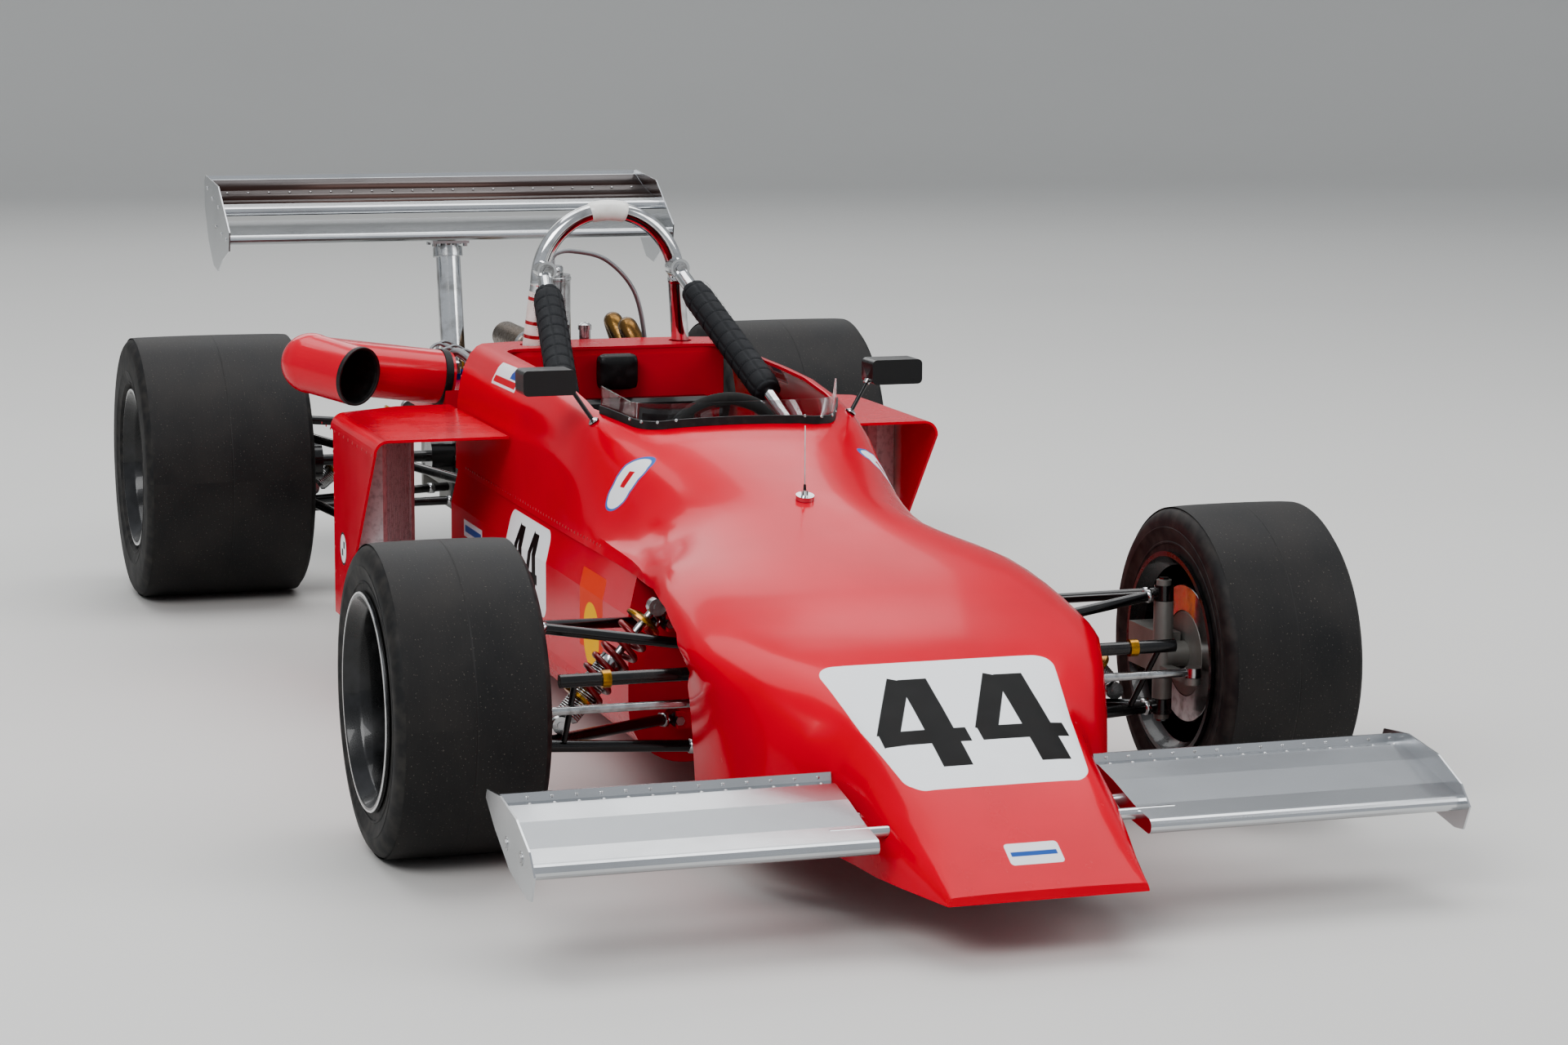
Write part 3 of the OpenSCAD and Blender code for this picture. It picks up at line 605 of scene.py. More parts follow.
@dataclass(frozen=True)
class HeatTinted(Finish):
    """Bare steel pipe that has run hot: straw and brown near the head, blue in bands, grey soot behind."""

    def paint(self, shader: Shader) -> None:
        """Runs the temper colours along the car's length with ragged edges.

        Args:
            shader: The new material.
        """
        split = shader.node("SeparateXYZ", shader.place).node
        rag = shader.node("Math", shader.grain(70, 5), 0.35, operation="MULTIPLY")
        along = shader.node(
            "MapRange", shader.node("Math", split.outputs["Y"], rag, operation="ADD"), REAR_HUB.y - 0.75,
            REAR_HUB.y + 0.75, 0.0, 1.0,
        )
        ramp = shader.node("ValToRGB", along).node
        tints = (
            (0.0, "#5a4c42"), (0.14, "#755436"), (0.3, "#85673e"), (0.5, "#7f6242"), (0.62, "#5f5060"),
            (0.74, "#745c40"), (1.0, "#66584b"),
        )
        points = ramp.color_ramp.elements
        for spot, _ in tints[2:]:
            points.new(spot)
        for point, (spot, shade) in zip(points, tints):
            point.position, point.color = spot, linear(shade)
        # Soot dulls the metal in patches, so that the tints are seen through it.
        grime = shader.node("MapRange", shader.grain(9, 8), 0.45, 0.8, 0.0, 1.0)
        shader.set(
            Base_Color=shader.node(
                "Mix", {
                    0: shader.node("Math", grime, 0.5, operation="MULTIPLY"), 6: ramp.outputs[0], 7: self.worn
                },
                out=2, data_type="RGBA",
            ),
            Metallic=1.0,
            Roughness=shader.node("MapRange", grime, 0, 1, self.roughness, self.roughness + 0.3),
        )
        shader.relief(shader.grain(1.4, 4), 0.06)


ENAMEL = "red enamel, sprayed"
FINISHES: dict[str, Finish] = {
    # Hardly seen face on: a bright edge, a bluish tone and specks of dust.
    "clear_screen": Glazing("clear acrylic, blown", "#eef6fb", "#c9cdd0", 0.05),
    # A soft, dull black line that rounds off the hard edge it covers.
    "black_trim": Finish("black rubber edging, extruded", "#101011", "#2c2b2a", 0.45, 0.12, grain_mm=15),
    # A bright mirror on tube, so that red paint and pale floor run along it in long streaks.
    "chrome": Finish("chromed steel tube", "#d9dadb", "#9c9a97", 0.1, 0.07, 1.0, 40, 3, 0.01),
    # Near black under lacquer with a faint twill. Real tows are about 2 mm wide: drawn at 5 mm to show.
    "black_composite": Weave(
        "carbon cloth in resin", "#08090a", "#17181a", 0.32, 0.08, coat=0.25, pitch_mm=5, relief_mm=0.05,
    ),
    # A soft sheen broken up by grain. Real grain is about 0.8 mm: drawn at 1.6 mm to show.
    "black_vinyl": Finish(
        "black vinyl, grained", "#0f1011", "#2d2d2e", 0.38, 0.1, grain_mm=25, tooth_mm=1.6, depth_mm=0.25,
    ),
    # Deep black without shine, so that only the quilting shows.
    # Real threads are 0.6 mm apart: drawn at 2.6 mm.
    "quilt_cloth": Weave(
        "black padded cloth, woven", "#0b0d10", "#23272d", 0.7, 0.1, pitch_mm=2.6, relief_mm=0.3,
    ),
    # A slightly lighter row of dots that makes the seams read.
    "thread": Finish("black bonded thread", "#26292e", "#3a3d42", 0.6, 0.05, grain_mm=5, depth_mm=0.0),
    # Polishing lines spread each lamp into a broad band. Real lines are under 0.5 mm: drawn at 2.5 mm.
    "wing_aluminium": Brushed(
        "aluminium sheet, polished", "#cfd1d3", "#b9bbbd", 0.22, 0.05, 1.0, 220, 2.5, 0.012,
    ),
    # Dark brown that still mirrors the sky softly, so that the flap stands out from the bright plane.
    "flap_film": Finish("brown anodised aluminium", "#3d2822", "#33221d", 0.3, 0.04, 0.6, 240, 2, 0.008),
    # Pale matt metal that shows as a light ground between the fins.
    "radiator_core": Finish(
        "radiator tube and fin, dull aluminium", "#d2d4d6", "#9b9da0", 0.5, 0.12, 0.0, 12, 1, 0.1,
    ),
    # Thin light edges that turn the core into a fine grey shimmer.
    "radiator_fin": Finish("radiator fin, raw aluminium", "#dcdee0", "#8b8d90", 0.45, 0.12, 0.0, 6, 1, 0.05),
    # Matt grey-brown with a sandy tooth. Real sand grain is about 0.5 mm: drawn at 2.2 mm.
    "cast_alloy": Finish("magnesium casting, sand cast", "#8b8a86", "#74726c", 0.5, 0.08, 0.6, 90, 2.2, 0.18),
    # Bare metal whose straw, brown and blue show where the pipe ran hottest.
    "exhaust_steel": HeatTinted("exhaust steel, heat tinted", "#8a6a3c", "#3c2f26", 0.24),
    # Glossy black links with brown dust in patches.
    "black_tube": Finish(
        "black stoved enamel on tube", "#0c0c0d", "#2a2624", 0.24, 0.1, grain_mm=35, tooth_mm=3,
        depth_mm=0.03,
        coat=0.5,
    ),
    # Dark, even red with a soft highlight along each turn of the coil.
    "spring_red": Finish(
        "red powder coat on spring wire", "#8f1218", "#51100f", 0.33, 0.1, grain_mm=12, coat=0.3,
    ),
    # Small bright parts whose turning marks break up their shine.
    "bright_steel": Brushed("bright steel, turned", "#c4c5c6", "#85837f", 0.2, 0.1, 1.0, 18, 1.5, 0.02),
    # Satin black over a cast skin, so that the dish of the wheel reads as one dark bowl.
    "rim_black": Finish(
        "black paint on cast magnesium rim", "#0d0e0f", "#26262a", 0.3, 0.1, 0.1, 40, 2.5, 0.08, coat=0.4,
    ),
    # One thin bright ring round the dark rim.
    "polished_lip": Brushed("polished aluminium lip", "#d4d5d6", "#97989a", 0.12, 0.06, 1.0, 30, 2, 0.01),
    # A clean, even reflection.
    "mirror": Finish("silvered mirror glass", "#e3e6e8", "#c9cdcf", 0.03, 0.01, 1.0, 80, 8, 0.0),
    # Small warm accents with a metal sheen under clear colour.
    "gold_alloy": Finish("gold anodised alloy", "#b98a3a", "#7a5a24", 0.25, 0.08, 0.9, 15, 1.5, 0.03),
    # Small deep blue accents at the ends of the lines.
    "blue_alloy": Finish("blue anodised hose fitting", "#1f4fa8", "#16305f", 0.25, 0.08, 0.85, 10, 1, 0.03),
    # Grey hose with a lively criss-cross. Real wire bundles are about 1 mm apart: drawn at 2.2 mm.
    "braid": Weave(
        "stainless braid hose", "#9fa1a3", "#5b5d60", 0.32, 0.08, 0.9, pitch_mm=2.2, relief_mm=0.25,
    ),
    # Clean white with a slight shine, flat on what it is stuck to.
    "white_print": Finish("white vinyl sticker", "#ecebe6", "#cfccc2", 0.3, 0.08, coat=0.3, depth_mm=0.01),
    # Soft black with a dull moulded skin.
    "black_rubber": Finish(
        "black rubber hose, moulded", "#111112", "#2b2a29", 0.5, 0.1, grain_mm=14, tooth_mm=1.5,
        depth_mm=0.15,
    ),
    # Matt off-white that reads sharply on a black dial.
    "dial_ink": Finish("white dial ink", "#e8e8e2", "#cfcfc8", 0.5, 0.05, depth_mm=0.0),
    # Wrinkles 1 mm across turn the light into a dry sparkle without a clear highlight.
    "crackle": Finish(
        "black crackle paint", "#141415", "#2a2a2b", 0.55, 0.1, grain_mm=20, tooth_mm=1.0, depth_mm=0.4,
    ),
    # The dullest black in the cockpit, browner where hands have held it.
    "suede": Finish(
        "black suede on steering rim", "#131211", "#2b2825", 0.8, 0.08, grain_mm=14, tooth_mm=0.8,
        depth_mm=0.2,
    ),
    # A small orange-brown point of metal.
    "copper": Finish("copper alloy nipple, turned", "#a8643a", "#5f3a26", 0.35, 0.1, 0.9, 6, 1, 0.03),
    # Rivets sink into the body's red except for their tiny highlights.
    "rivet_red": Finish("red enamel over rivets", "#b3101c", "#7e0c14", 0.3, 0.08, coat=0.5),
    # The body's red without its dust, so the horn looks fresher and a little glossier.
    "intake_red": Finish(
        "red enamel on the air horn", "#d60726", "#c60621", 0.24, 0.04, 0.0, 220, 5, 0.02, coat=0.3,
    ),
}


def numeral(
    left: float, foot: float, height: float, along: str, origin: float = 0.0, **where: object,
) -> list[Mark]:
    """One heavy figure four of three strokes, standing on its foot.

    Args:
        left: Left edge of the figure, in metres from the panel's origin.
        foot: Lower edge of the figure.
        height: Its height; the other sizes follow from it.
        along: Axis that the panel is seen along.
        origin: Place of the panel along the car.
        **where: Window and sides of the mark.

    Returns:
        The strokes as marks.
    """
    strokes = (
        (0.467, 0.5, 0.112, 0.5, 0.0), (0.333, 0.33, 0.333, 0.077, 0.0), (0.21, 0.676, 0.083, 0.35, -0.44),
    )
    return [
        Mark(
            (origin, foot + v * height), (a * height, b * height), "#040404", along, 0.001, turn,
            shift=left + u * height, **where,
        )
        for u, v, a, b, turn in strokes
    ]


# ---------------------------------------------------------------- meshes


class Solid:
    """Gathers the faces of one piece, in metres and in the car's own frame."""

    def __init__(self, finish: Finish) -> None:
        """Starts an empty piece whose first faces take a finish.

        Args:
            finish: Finish of the first faces.
        """
        self.mesh = bmesh.new()
        self.wrap = self.mesh.loops.layers.uv.new("wrap")
        self.finishes: list[Finish] = []
        self.use(finish)

    def use(self, finish: Finish) -> "Solid":
        """Gives the faces that follow another finish.

        Args:
            finish: The finish.

        Returns:
            The solid itself.
        """
        if finish not in self.finishes:
            self.finishes.append(finish)
        self.coat = self.finishes.index(finish)
        return self

    def face(self, verts: Sequence[bmesh.types.BMVert], wraps: Sequence[Pair] = ()) -> None:
        """Adds one face with the finish in use.

        Args:
            verts: Its corners in order.
            wraps: The wrap map at each corner.
        """
        if len(set(verts)) < 3:
            return
        made = self.mesh.faces.new(verts)
        made.material_index = self.coat
        for loop, spot in zip(made.loops, wraps):
            loop[self.wrap].uv = spot

    def lathe(
        self, profile: Sequence[Pair], place: Matrix, segments: int = 48, closed: bool = False, zero: int = 0,
    ) -> "Solid":
        """Turns a profile round a place's Z axis.

        Args:
            profile: Radius and height pairs, in metres.
            place: Frame of the axis.
            segments: Steps round the axis.
            closed: Joins the last pair to the first.
            zero: Pair from which the wrap's V is measured.

        Returns:
            The solid itself.
        """
        rings = [
            [
                self.mesh.verts.new(place @ Vector((r * math.cos(a), r * math.sin(a), h)))
                for a in (2 * math.pi * k / segments for k in range(segments))
            ]
            for r, h in profile
        ]
        lengths = [0.0]
        for (r0, h0), (r1, h1) in zip(profile, profile[1:]):
            lengths.append(lengths[-1] + math.hypot(r1 - r0, h1 - h0))
        girth = 2 * math.pi * max(r for r, _ in profile) / segments
        steps = list(zip(range(len(profile)), range(1, len(profile))))
        if closed:
            steps.append((len(profile) - 1, 0))
        for i, j in steps:
            v0, v1 = lengths[i] - lengths[zero], lengths[j] - lengths[zero]
            for k in range(segments):
                n = (k + 1) % segments
                self.face(
                    (rings[i][k], rings[i][n], rings[j][n], rings[j][k]),
                    ((k * girth, v0), ((k + 1) * girth, v0), ((k + 1) * girth, v1), (k * girth, v1)),
                )
        return self

    def tube(
        self, path: Sequence[Vector], radius: float | Sequence[float], sides: int = 14, caps: bool = True,
    ) -> "Solid":
        """Sweeps a round section along a path.

        Args:
            path: The centre line's points.
            radius: One radius, or one for each point.
            sides: Sides of the section.
            caps: Closes both ends.

        Returns:
            The solid itself.
        """
        radii = list(radius) if isinstance(radius, (list, tuple)) else [radius] * len(path)
        tangents = [
            (path[min(i + 1, len(path) - 1)] - path[max(i - 1, 0)]).normalized() for i in range(len(path))
        ]
        normal = tangents[0].orthogonal().normalized()
        rings, travelled = [], 0.0
        for i, (point, tangent, r) in enumerate(zip(path, tangents, radii)):
            if i:
                normal = tangents[i - 1].rotation_difference(tangent) @ normal
                travelled += (point - path[i - 1]).length
            other = tangent.cross(normal)
            ring = [
                self.mesh.verts.new(point + r * (math.cos(a) * normal + math.sin(a) * other))
                for a in (2 * math.pi * k / sides for k in range(sides))
            ]
            rings.append((ring, travelled))
        for (low, v0), (high, v1) in zip(rings, rings[1:]):
            for k in range(sides):
                n = (k + 1) % sides
                u0, u1 = (2 * math.pi * radii[0] * s / sides for s in (k, k + 1))
                self.face((low[k], low[n], high[n], high[k]), ((u0, v0), (u1, v0), (u1, v1), (u0, v1)))
        if caps:
            self.face(list(reversed(rings[0][0])))
            self.face(rings[-1][0])
        return self

    def block(self, size: Triple, place: Matrix, bevel: float = 0.0015) -> "Solid":
        """Adds a box of a size in metres round a place, with softened edges.

        Args:
            size: Width, depth and height in metres.
            place: Frame of its middle.
            bevel: Width of the softened edges.

        Returns:
            The solid itself.
        """
        made = bmesh.ops.create_cube(self.mesh, matrix=place @ Matrix.Diagonal((*size, 1)))
        # Dictionaries keep the order of faces and edges, which sets lose.
        faces = dict.fromkeys(f for v in made["verts"] for f in v.link_faces)
        for f in faces:
            f.material_index = self.coat
        if bevel:
            edges = dict.fromkeys(e for f in faces for e in f.edges)
            done = bmesh.ops.bevel(
                self.mesh, geom=list(edges), offset=bevel, segments=2, profile=0.6, affect="EDGES",
            )
            for f in done["faces"]:
                f.material_index = self.coat
        return self

    def plate(self, outline: Sequence[Pair], thickness: float, place: Matrix) -> "Solid":
        """Extrudes an outline in a place's X and Y along its Z.

        Args:
            outline: Corners in order.
            thickness: Thickness in metres.
            place: Frame of its lower face.

        Returns:
            The solid itself.
        """
        low = [self.mesh.verts.new(place @ Vector((u, v, 0))) for u, v in outline]
        high = [self.mesh.verts.new(place @ Vector((u, v, thickness))) for u, v in outline]
        self.face(list(reversed(low)))
        self.face(high)
        for k in range(len(low)):
            n = (k + 1) % len(low)
            self.face((low[k], low[n], high[n], high[k]))
        return self

    def copy_of(self, node: str, merge: float = 2e-6) -> "Solid":
        """Adds a CAD node's shape with its loose triangles joined.

        Args:
            node: The node's name.
            merge: Points closer than this are joined.

        Returns:
            The solid itself.
        """
        source = bmesh.new()
        source.from_mesh(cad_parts[node].data)
        bmesh.ops.remove_doubles(source, verts=source.verts, dist=merge)
        known = {v: self.mesh.verts.new(v.co) for v in source.verts}
        for f in source.faces:
            self.face([known[v] for v in f.verts])
        source.free()
        return self

    def piece(
        self, name: str, body: str, angle: float = 35.0, replaces: Sequence[str] = (),
        recalculate: bool = True,
    ) -> bpy.types.Object:
        """Turns the faces into a finished piece.

        Args:
            name: The piece's name.
            body: CAD body that it rides on.
            angle: Edges sharper than this stay sharp, in degrees.
            replaces: CAD nodes that it stands for.
            recalculate: Turns all faces outwards.

        Returns:
            The new object.
        """
        bmesh.ops.remove_doubles(self.mesh, verts=self.mesh.verts, dist=2e-6)
        if recalculate:
            bmesh.ops.recalc_face_normals(self.mesh, faces=self.mesh.faces)
        for edge in self.mesh.edges:
            edge.smooth = len(edge.link_faces) == 2 and edge.calc_face_angle(0.0) < math.radians(angle)
        data = bpy.data.meshes.new(name)
        self.mesh.to_mesh(data)
        self.mesh.free()
        data.polygons.foreach_set("use_smooth", [True] * len(data.polygons))
        for finish in self.finishes:
            data.materials.append(finish.material())
        made = bpy.data.objects.new(name, data)
        return settle(made, body, replaces)


def settle(made: bpy.types.Object, body: str, replaces: Sequence[str] = ()) -> bpy.types.Object:
    """Puts a piece in the scene, on its body and in place of its CAD nodes.

    Args:
        made: The piece.
        body: Body that it rides on.
        replaces: CAD nodes that it stands for.

    Returns:
        The piece.
    """
    if made.name not in bpy.context.scene.collection.objects:
        bpy.context.scene.collection.objects.link(made)
    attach(made, body)
    if replaces:
        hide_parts(*replaces)
    LOG.info("%s: %d faces on %s", made.name, len(made.data.polygons), body)
    return made


def dress(finish: Finish, *nodes: str) -> None:
    """Gives CAD nodes whose shape is right a finish.

    Args:
        finish: The finish.
        *nodes: Names of the nodes.
    """
    for node in nodes:
        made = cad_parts[node]
        for entry in made.material_slots:
            entry.material = finish.material()


def smooth_path(points: Sequence[Vector], steps: int = 8) -> list[Vector]:
    """A Catmull-Rom curve through points.

    Args:
        points: Points that it passes through.
        steps: Steps from one point to the next.

    Returns:
        The curve's points.
    """
    found: list[Vector] = []
    for i in range(len(points) - 1):
        p0, p1, p2, p3 = (points[max(0, min(len(points) - 1, k))] for k in (i - 1, i, i + 1, i + 2))
        for s in range(steps):
            t = s / steps
            found.append(
                0.5 * (
                    2 * p1 + (p2 - p0) * t + (2 * p0 - 5 * p1 + 4 * p2 - p3) * t * t
                    + (3 * p1 - p0 - 3 * p2 + p3) * t**3
                )
            )
    return found + [points[-1].copy()]


# ---------------------------------------------------------------- repeated things


class Grown:
    """A geometry tree with named inputs, run once and turned into a plain mesh."""

    def __init__(self, name: str, inputs: dict[str, str]) -> None:
        """Makes an empty tree with one output and the named inputs.

        Args:
            name: The tree's name.
            inputs: Kind of socket by input name.
        """
        self.tree = bpy.data.node_groups.new(name, "GeometryNodeTree")
        self.identifiers: dict[str, str] = {}
        self.tree.interface.new_socket("Geometry", in_out="INPUT", socket_type="NodeSocketGeometry")
        self.tree.interface.new_socket("Geometry", in_out="OUTPUT", socket_type="NodeSocketGeometry")
        for key, kind in {**inputs, "Finish": "NodeSocketMaterial"}.items():
            socket = self.tree.interface.new_socket(key, in_out="INPUT", socket_type=kind)
            self.identifiers[key] = socket.identifier
        self.entry = add(self.tree, "NodeGroupInput")

    def close(self, geometry: bpy.types.NodeSocket) -> None:
        """Ends the tree: real geometry, smooth shading and the finish.

        Args:
            geometry: What the tree has made.
        """
        real = add(self.tree, "GeometryNodeRealizeInstances", {0: geometry})
        dressed = add(
            self.tree, "GeometryNodeSetMaterial", {
                0: real.outputs[0], "Material": self.entry.outputs["Finish"],
            },
        )
        add(self.tree, "NodeGroupOutput", {0: dressed.outputs[0]})

    def run(
        self, name: str, base: bpy.types.Mesh, values: dict, finish: Finish, place: Matrix = Matrix(),
    ) -> bpy.types.Mesh:
        """Runs the tree on a mesh.

        Args:
            name: Name of the result.
            base: Mesh that goes in.
            values: The inputs by name.
            finish: Finish of what grows.
            place: Frame that the result is put in.

        Returns:
            The plain mesh.
        """
        holder = bpy.data.objects.new(name + "_base", base)
        bpy.context.scene.collection.objects.link(holder)
        modifier = holder.modifiers.new("grown", "NODES")
        modifier.node_group = self.tree
        for key, value in {**values, "Finish": finish.material()}.items():
            modifier[self.identifiers[key]] = value
        bpy.context.view_layer.update()
        shaped = holder.evaluated_get(bpy.context.evaluated_depsgraph_get())
        made = bpy.data.meshes.new_from_object(shaped)
        made.name = name
        made.transform(place)
        holder.modifiers.clear()
        bpy.data.objects.remove(holder)
        return made


class HeadTree(Grown):
    """Sets one fastener head on each point of a mesh, or at a pitch along its edges."""

    def __init__(self, head: Head) -> None:
        """Builds the tree for one kind of head.

        Args:
            head: Kind of head.
        """
        super().__init__(
            f"heads_{head.value}",
            {
                "Pitch": "NodeSocketFloat", "Radius": "NodeSocketFloat", "Height": "NodeSocketFloat",
                "Along": "NodeSocketBool",
            },
        )
        tree, entry = self.tree, self.entry.outputs
        line = add(tree, "GeometryNodeMeshToCurve", {0: entry["Geometry"]})
        spaced = add(
            tree, "GeometryNodeResampleCurve", {
                "Curve": line.outputs[0], "Length": entry["Pitch"],
            }, mode="LENGTH",
        )
        spots = add(
            tree, "GeometryNodeSwitch", {
                "Switch": entry["Along"], "False": entry["Geometry"], "True": spaced.outputs[0],
            },
            input_type="GEOMETRY",
        )
        facing_at = add(tree, "GeometryNodeInputNamedAttribute", {"Name": "facing"}, data_type="FLOAT_VECTOR")
        turned = add(tree, "FunctionNodeAlignRotationToVector", {"Vector": facing_at.outputs[0]}, axis="Z")
        if head is Head.DOME:
            shape = add(tree, "GeometryNodeMeshUVSphere", {"Segments": 10, "Rings": 6, "Radius": 1.0})
        elif head is Head.HEX:
            shape = add(tree, "GeometryNodeMeshCylinder", {"Vertices": 6, "Radius": 1.0, "Depth": 2.0})
        else:
            shape = add(
                tree, "GeometryNodeMeshCone", {
                    "Vertices": 12, "Radius Top": 0.72, "Radius Bottom": 1.0, "Depth": 1.0,
                }
            )
        flat = add(
            tree, "GeometryNodeSetShadeSmooth", {0: shape.outputs["Mesh"], "Shade Smooth": head is Head.DOME},
        )
        scale = add(
            tree, "ShaderNodeCombineXYZ", {"X": entry["Radius"], "Y": entry["Radius"], "Z": entry["Height"]},
        )
        heads = add(
            tree, "GeometryNodeInstanceOnPoints",
            {
                "Points": spots.outputs[0], "Instance": flat.outputs[0], "Rotation": turned.outputs[0],
                "Scale": scale.outputs[0],
            },
        )
        self.close(heads.outputs[0])


class CoilTree(Grown):
    """A round wire wound into a spring along Z."""

    def __init__(self) -> None:
        """Builds the tree."""
        kinds = {key: "NodeSocketFloat" for key in ("Turns", "Radius", "Wire", "Height")}
        super().__init__("coil", kinds)
        tree, entry = self.tree, self.entry.outputs
        spiral = add(
            tree, "GeometryNodeCurveSpiral",
            {
                "Resolution": 28, "Rotations": entry["Turns"], "Start Radius": entry["Radius"],
                "End Radius": entry["Radius"], "Height": entry["Height"],
            },
        )
        ring = add(tree, "GeometryNodeCurvePrimitiveCircle", {"Resolution": 10, "Radius": entry["Wire"]})
        wire = add(
            tree, "GeometryNodeCurveToMesh",
            {"Curve": spiral.outputs[0], "Profile Curve": ring.outputs[0], "Fill Caps": True},
        )
        smooth = add(tree, "GeometryNodeSetShadeSmooth", {0: wire.outputs[0], "Shade Smooth": True})
        self.close(smooth.outputs[0])


class StackTree(Grown):
    """A row of equal thin plates, such as cooling fins or ribs."""

    def __init__(self) -> None:
        """Builds the tree."""
        super().__init__(
            "stack",
            {
                "Count": "NodeSocketInt", "Step": "NodeSocketVector", "Plate": "NodeSocketVector",
                "Lean": "NodeSocketVector",
            },
        )
        tree, entry = self.tree, self.entry.outputs
        row = add(tree, "GeometryNodeMeshLine", {"Count": entry["Count"], "Offset": entry["Step"]})
        plate = add(tree, "GeometryNodeMeshCube", {"Size": entry["Plate"]})
        plates = add(
            tree, "GeometryNodeInstanceOnPoints",
            {"Points": row.outputs[0], "Instance": plate.outputs[0], "Rotation": entry["Lean"]},
        )
        self.close(plates.outputs[0])


class Workshop:
    """Keeps the repeating trees and lays their results on bodies."""

    def __init__(self) -> None:
        """Builds every tree once."""
        self.heads = {head: HeadTree(head) for head in Head}
        self.coil = CoilTree()
        self.stack = StackTree()

    def fasten(
        self, name: str, body: str, spots: Sequence[tuple[Vector, Vector]], radius: float, height: float,
        head: Head = Head.DOME, finish: Finish = FINISHES["bright_steel"], pitch: float = 0.0,
        chains: int = 1,
    ) -> bpy.types.Object:
        """Lays heads on spots, or at a pitch along chains of spots.

        Args:
            name: The piece's name.
            body: CAD body that it rides on.
            spots: Places and the directions that their heads face.
            radius: Radius of a head.
            height: Height of a head.
            head: Kind of head.
            finish: Finish of the heads.
            pitch: Distance between heads along the chain, or 0 for one on each spot.
            chains: Number of equal chains that the spots are in.

        Returns:
            The finished piece.
        """
        size = len(spots) // chains
        edges = [
            (c * size + i, c * size + i + 1) for c in range(chains) for i in range(size - 1)
        ] if pitch else []
        base = bpy.data.meshes.new(name + "_line")
        base.from_pydata([p for p, _ in spots], edges, [])
        facing_at = base.attributes.new("facing", "FLOAT_VECTOR", "POINT")
        facing_at.data.foreach_set("vector", [c for _, n in spots for c in n])
        values = {"Pitch": pitch or 1.0, "Radius": radius, "Height": height, "Along": bool(pitch)}
        data = self.heads[head].run(name, base, values, finish)
        return settle(bpy.data.objects.new(name, data), body)

    def spring(
        self, name: str, body: str, start: Vector, end: Vector, radius: float, wire: float, turns: float,
    ) -> bpy.types.Object:
        """Winds a spring between two places.

        Args:
            name: The piece's name.
            body: Body that it rides on.
            start: Middle of the first turn.
            end: Middle of the last turn.
            radius: Radius to the wire's middle.
            wire: The wire's radius.
            turns: Number of turns.

        Returns:
            The finished piece.
        """
        base = bpy.data.meshes.new(name + "_axis")
        values = {"Turns": turns, "Radius": radius, "Wire": wire, "Height": (end - start).length}
        data = self.coil.run(name, base, values, FINISHES["spring_red"], facing(start, end - start))
        return settle(bpy.data.objects.new(name, data), body)

    def plates(
        self, name: str, body: str, place: Matrix, count: int, step: Triple, size: Triple, finish: Finish,
        lean: Triple = (0, 0, 0),
    ) -> bpy.types.Object:
        """Stacks equal plates from a place on.

        Args:
            name: The piece's name.
            body: Body that it rides on.
            place: Frame of the first plate.
            count: Number of plates.
            step: Way from one plate to the next.
            size: Size of a plate.
            finish: Finish of the plates.
            lean: Turn of each plate, in radians.

        Returns:
            The finished piece.
        """
        base = bpy.data.meshes.new(name + "_row")
        data = self.stack.run(
            name, base, {"Count": count, "Step": step, "Plate": size, "Lean": lean}, finish, place,
        )
        return settle(bpy.data.objects.new(name, data), body)


class Surface:
    """Finds places on a finished piece, so that details lie on it."""

    def __init__(self, source: bpy.types.Object) -> None:
        """Builds the search tree from a piece or a CAD node."""
        mesh = source.data
        self.tree = BVHTree.FromPolygons([v.co for v in mesh.vertices], [p.vertices for p in mesh.polygons])

    def hit(self, start: Vector, along: Vector) -> tuple[Vector, Vector] | None:
        """The first place that a ray meets, with the surface's direction facing the ray.

        Args:
            start: Where the ray starts.
            along: The ray's direction.

        Returns:
            The place and its direction, or None.
        """
        place, normal, _, _ = self.tree.ray_cast(start, along)
        if place is None:
            return None
        return place, (normal if normal.dot(along) < 0 else -normal)

    def line(self, starts: Sequence[Vector], along: Vector) -> list[tuple[Vector, Vector]]:
        """The places met from each start."""
        return [found for found in (self.hit(s, along) for s in starts) if found]


def circle_spots(
    centre: Vector, axis: Vector, radius: float, count: int, phase: float = 0.0,
) -> list[tuple[Vector, Vector]]:
    """Equal places round an axis, all facing along it.

    Args:
        centre: Middle of the ring.
        axis: Axis that the places face.
        radius: Radius of the ring.
        count: Number of places.
        phase: Angle of the first one.

    Returns:
        The places with their directions.
    """
    turned = facing(centre, axis)
    return [
        (turned @ Vector((radius * math.cos(a), radius * math.sin(a), 0)), axis.normalized())
        for a in (phase + 2 * math.pi * k / count for k in range(count))
    ]


# ---------------------------------------------------------------- studio


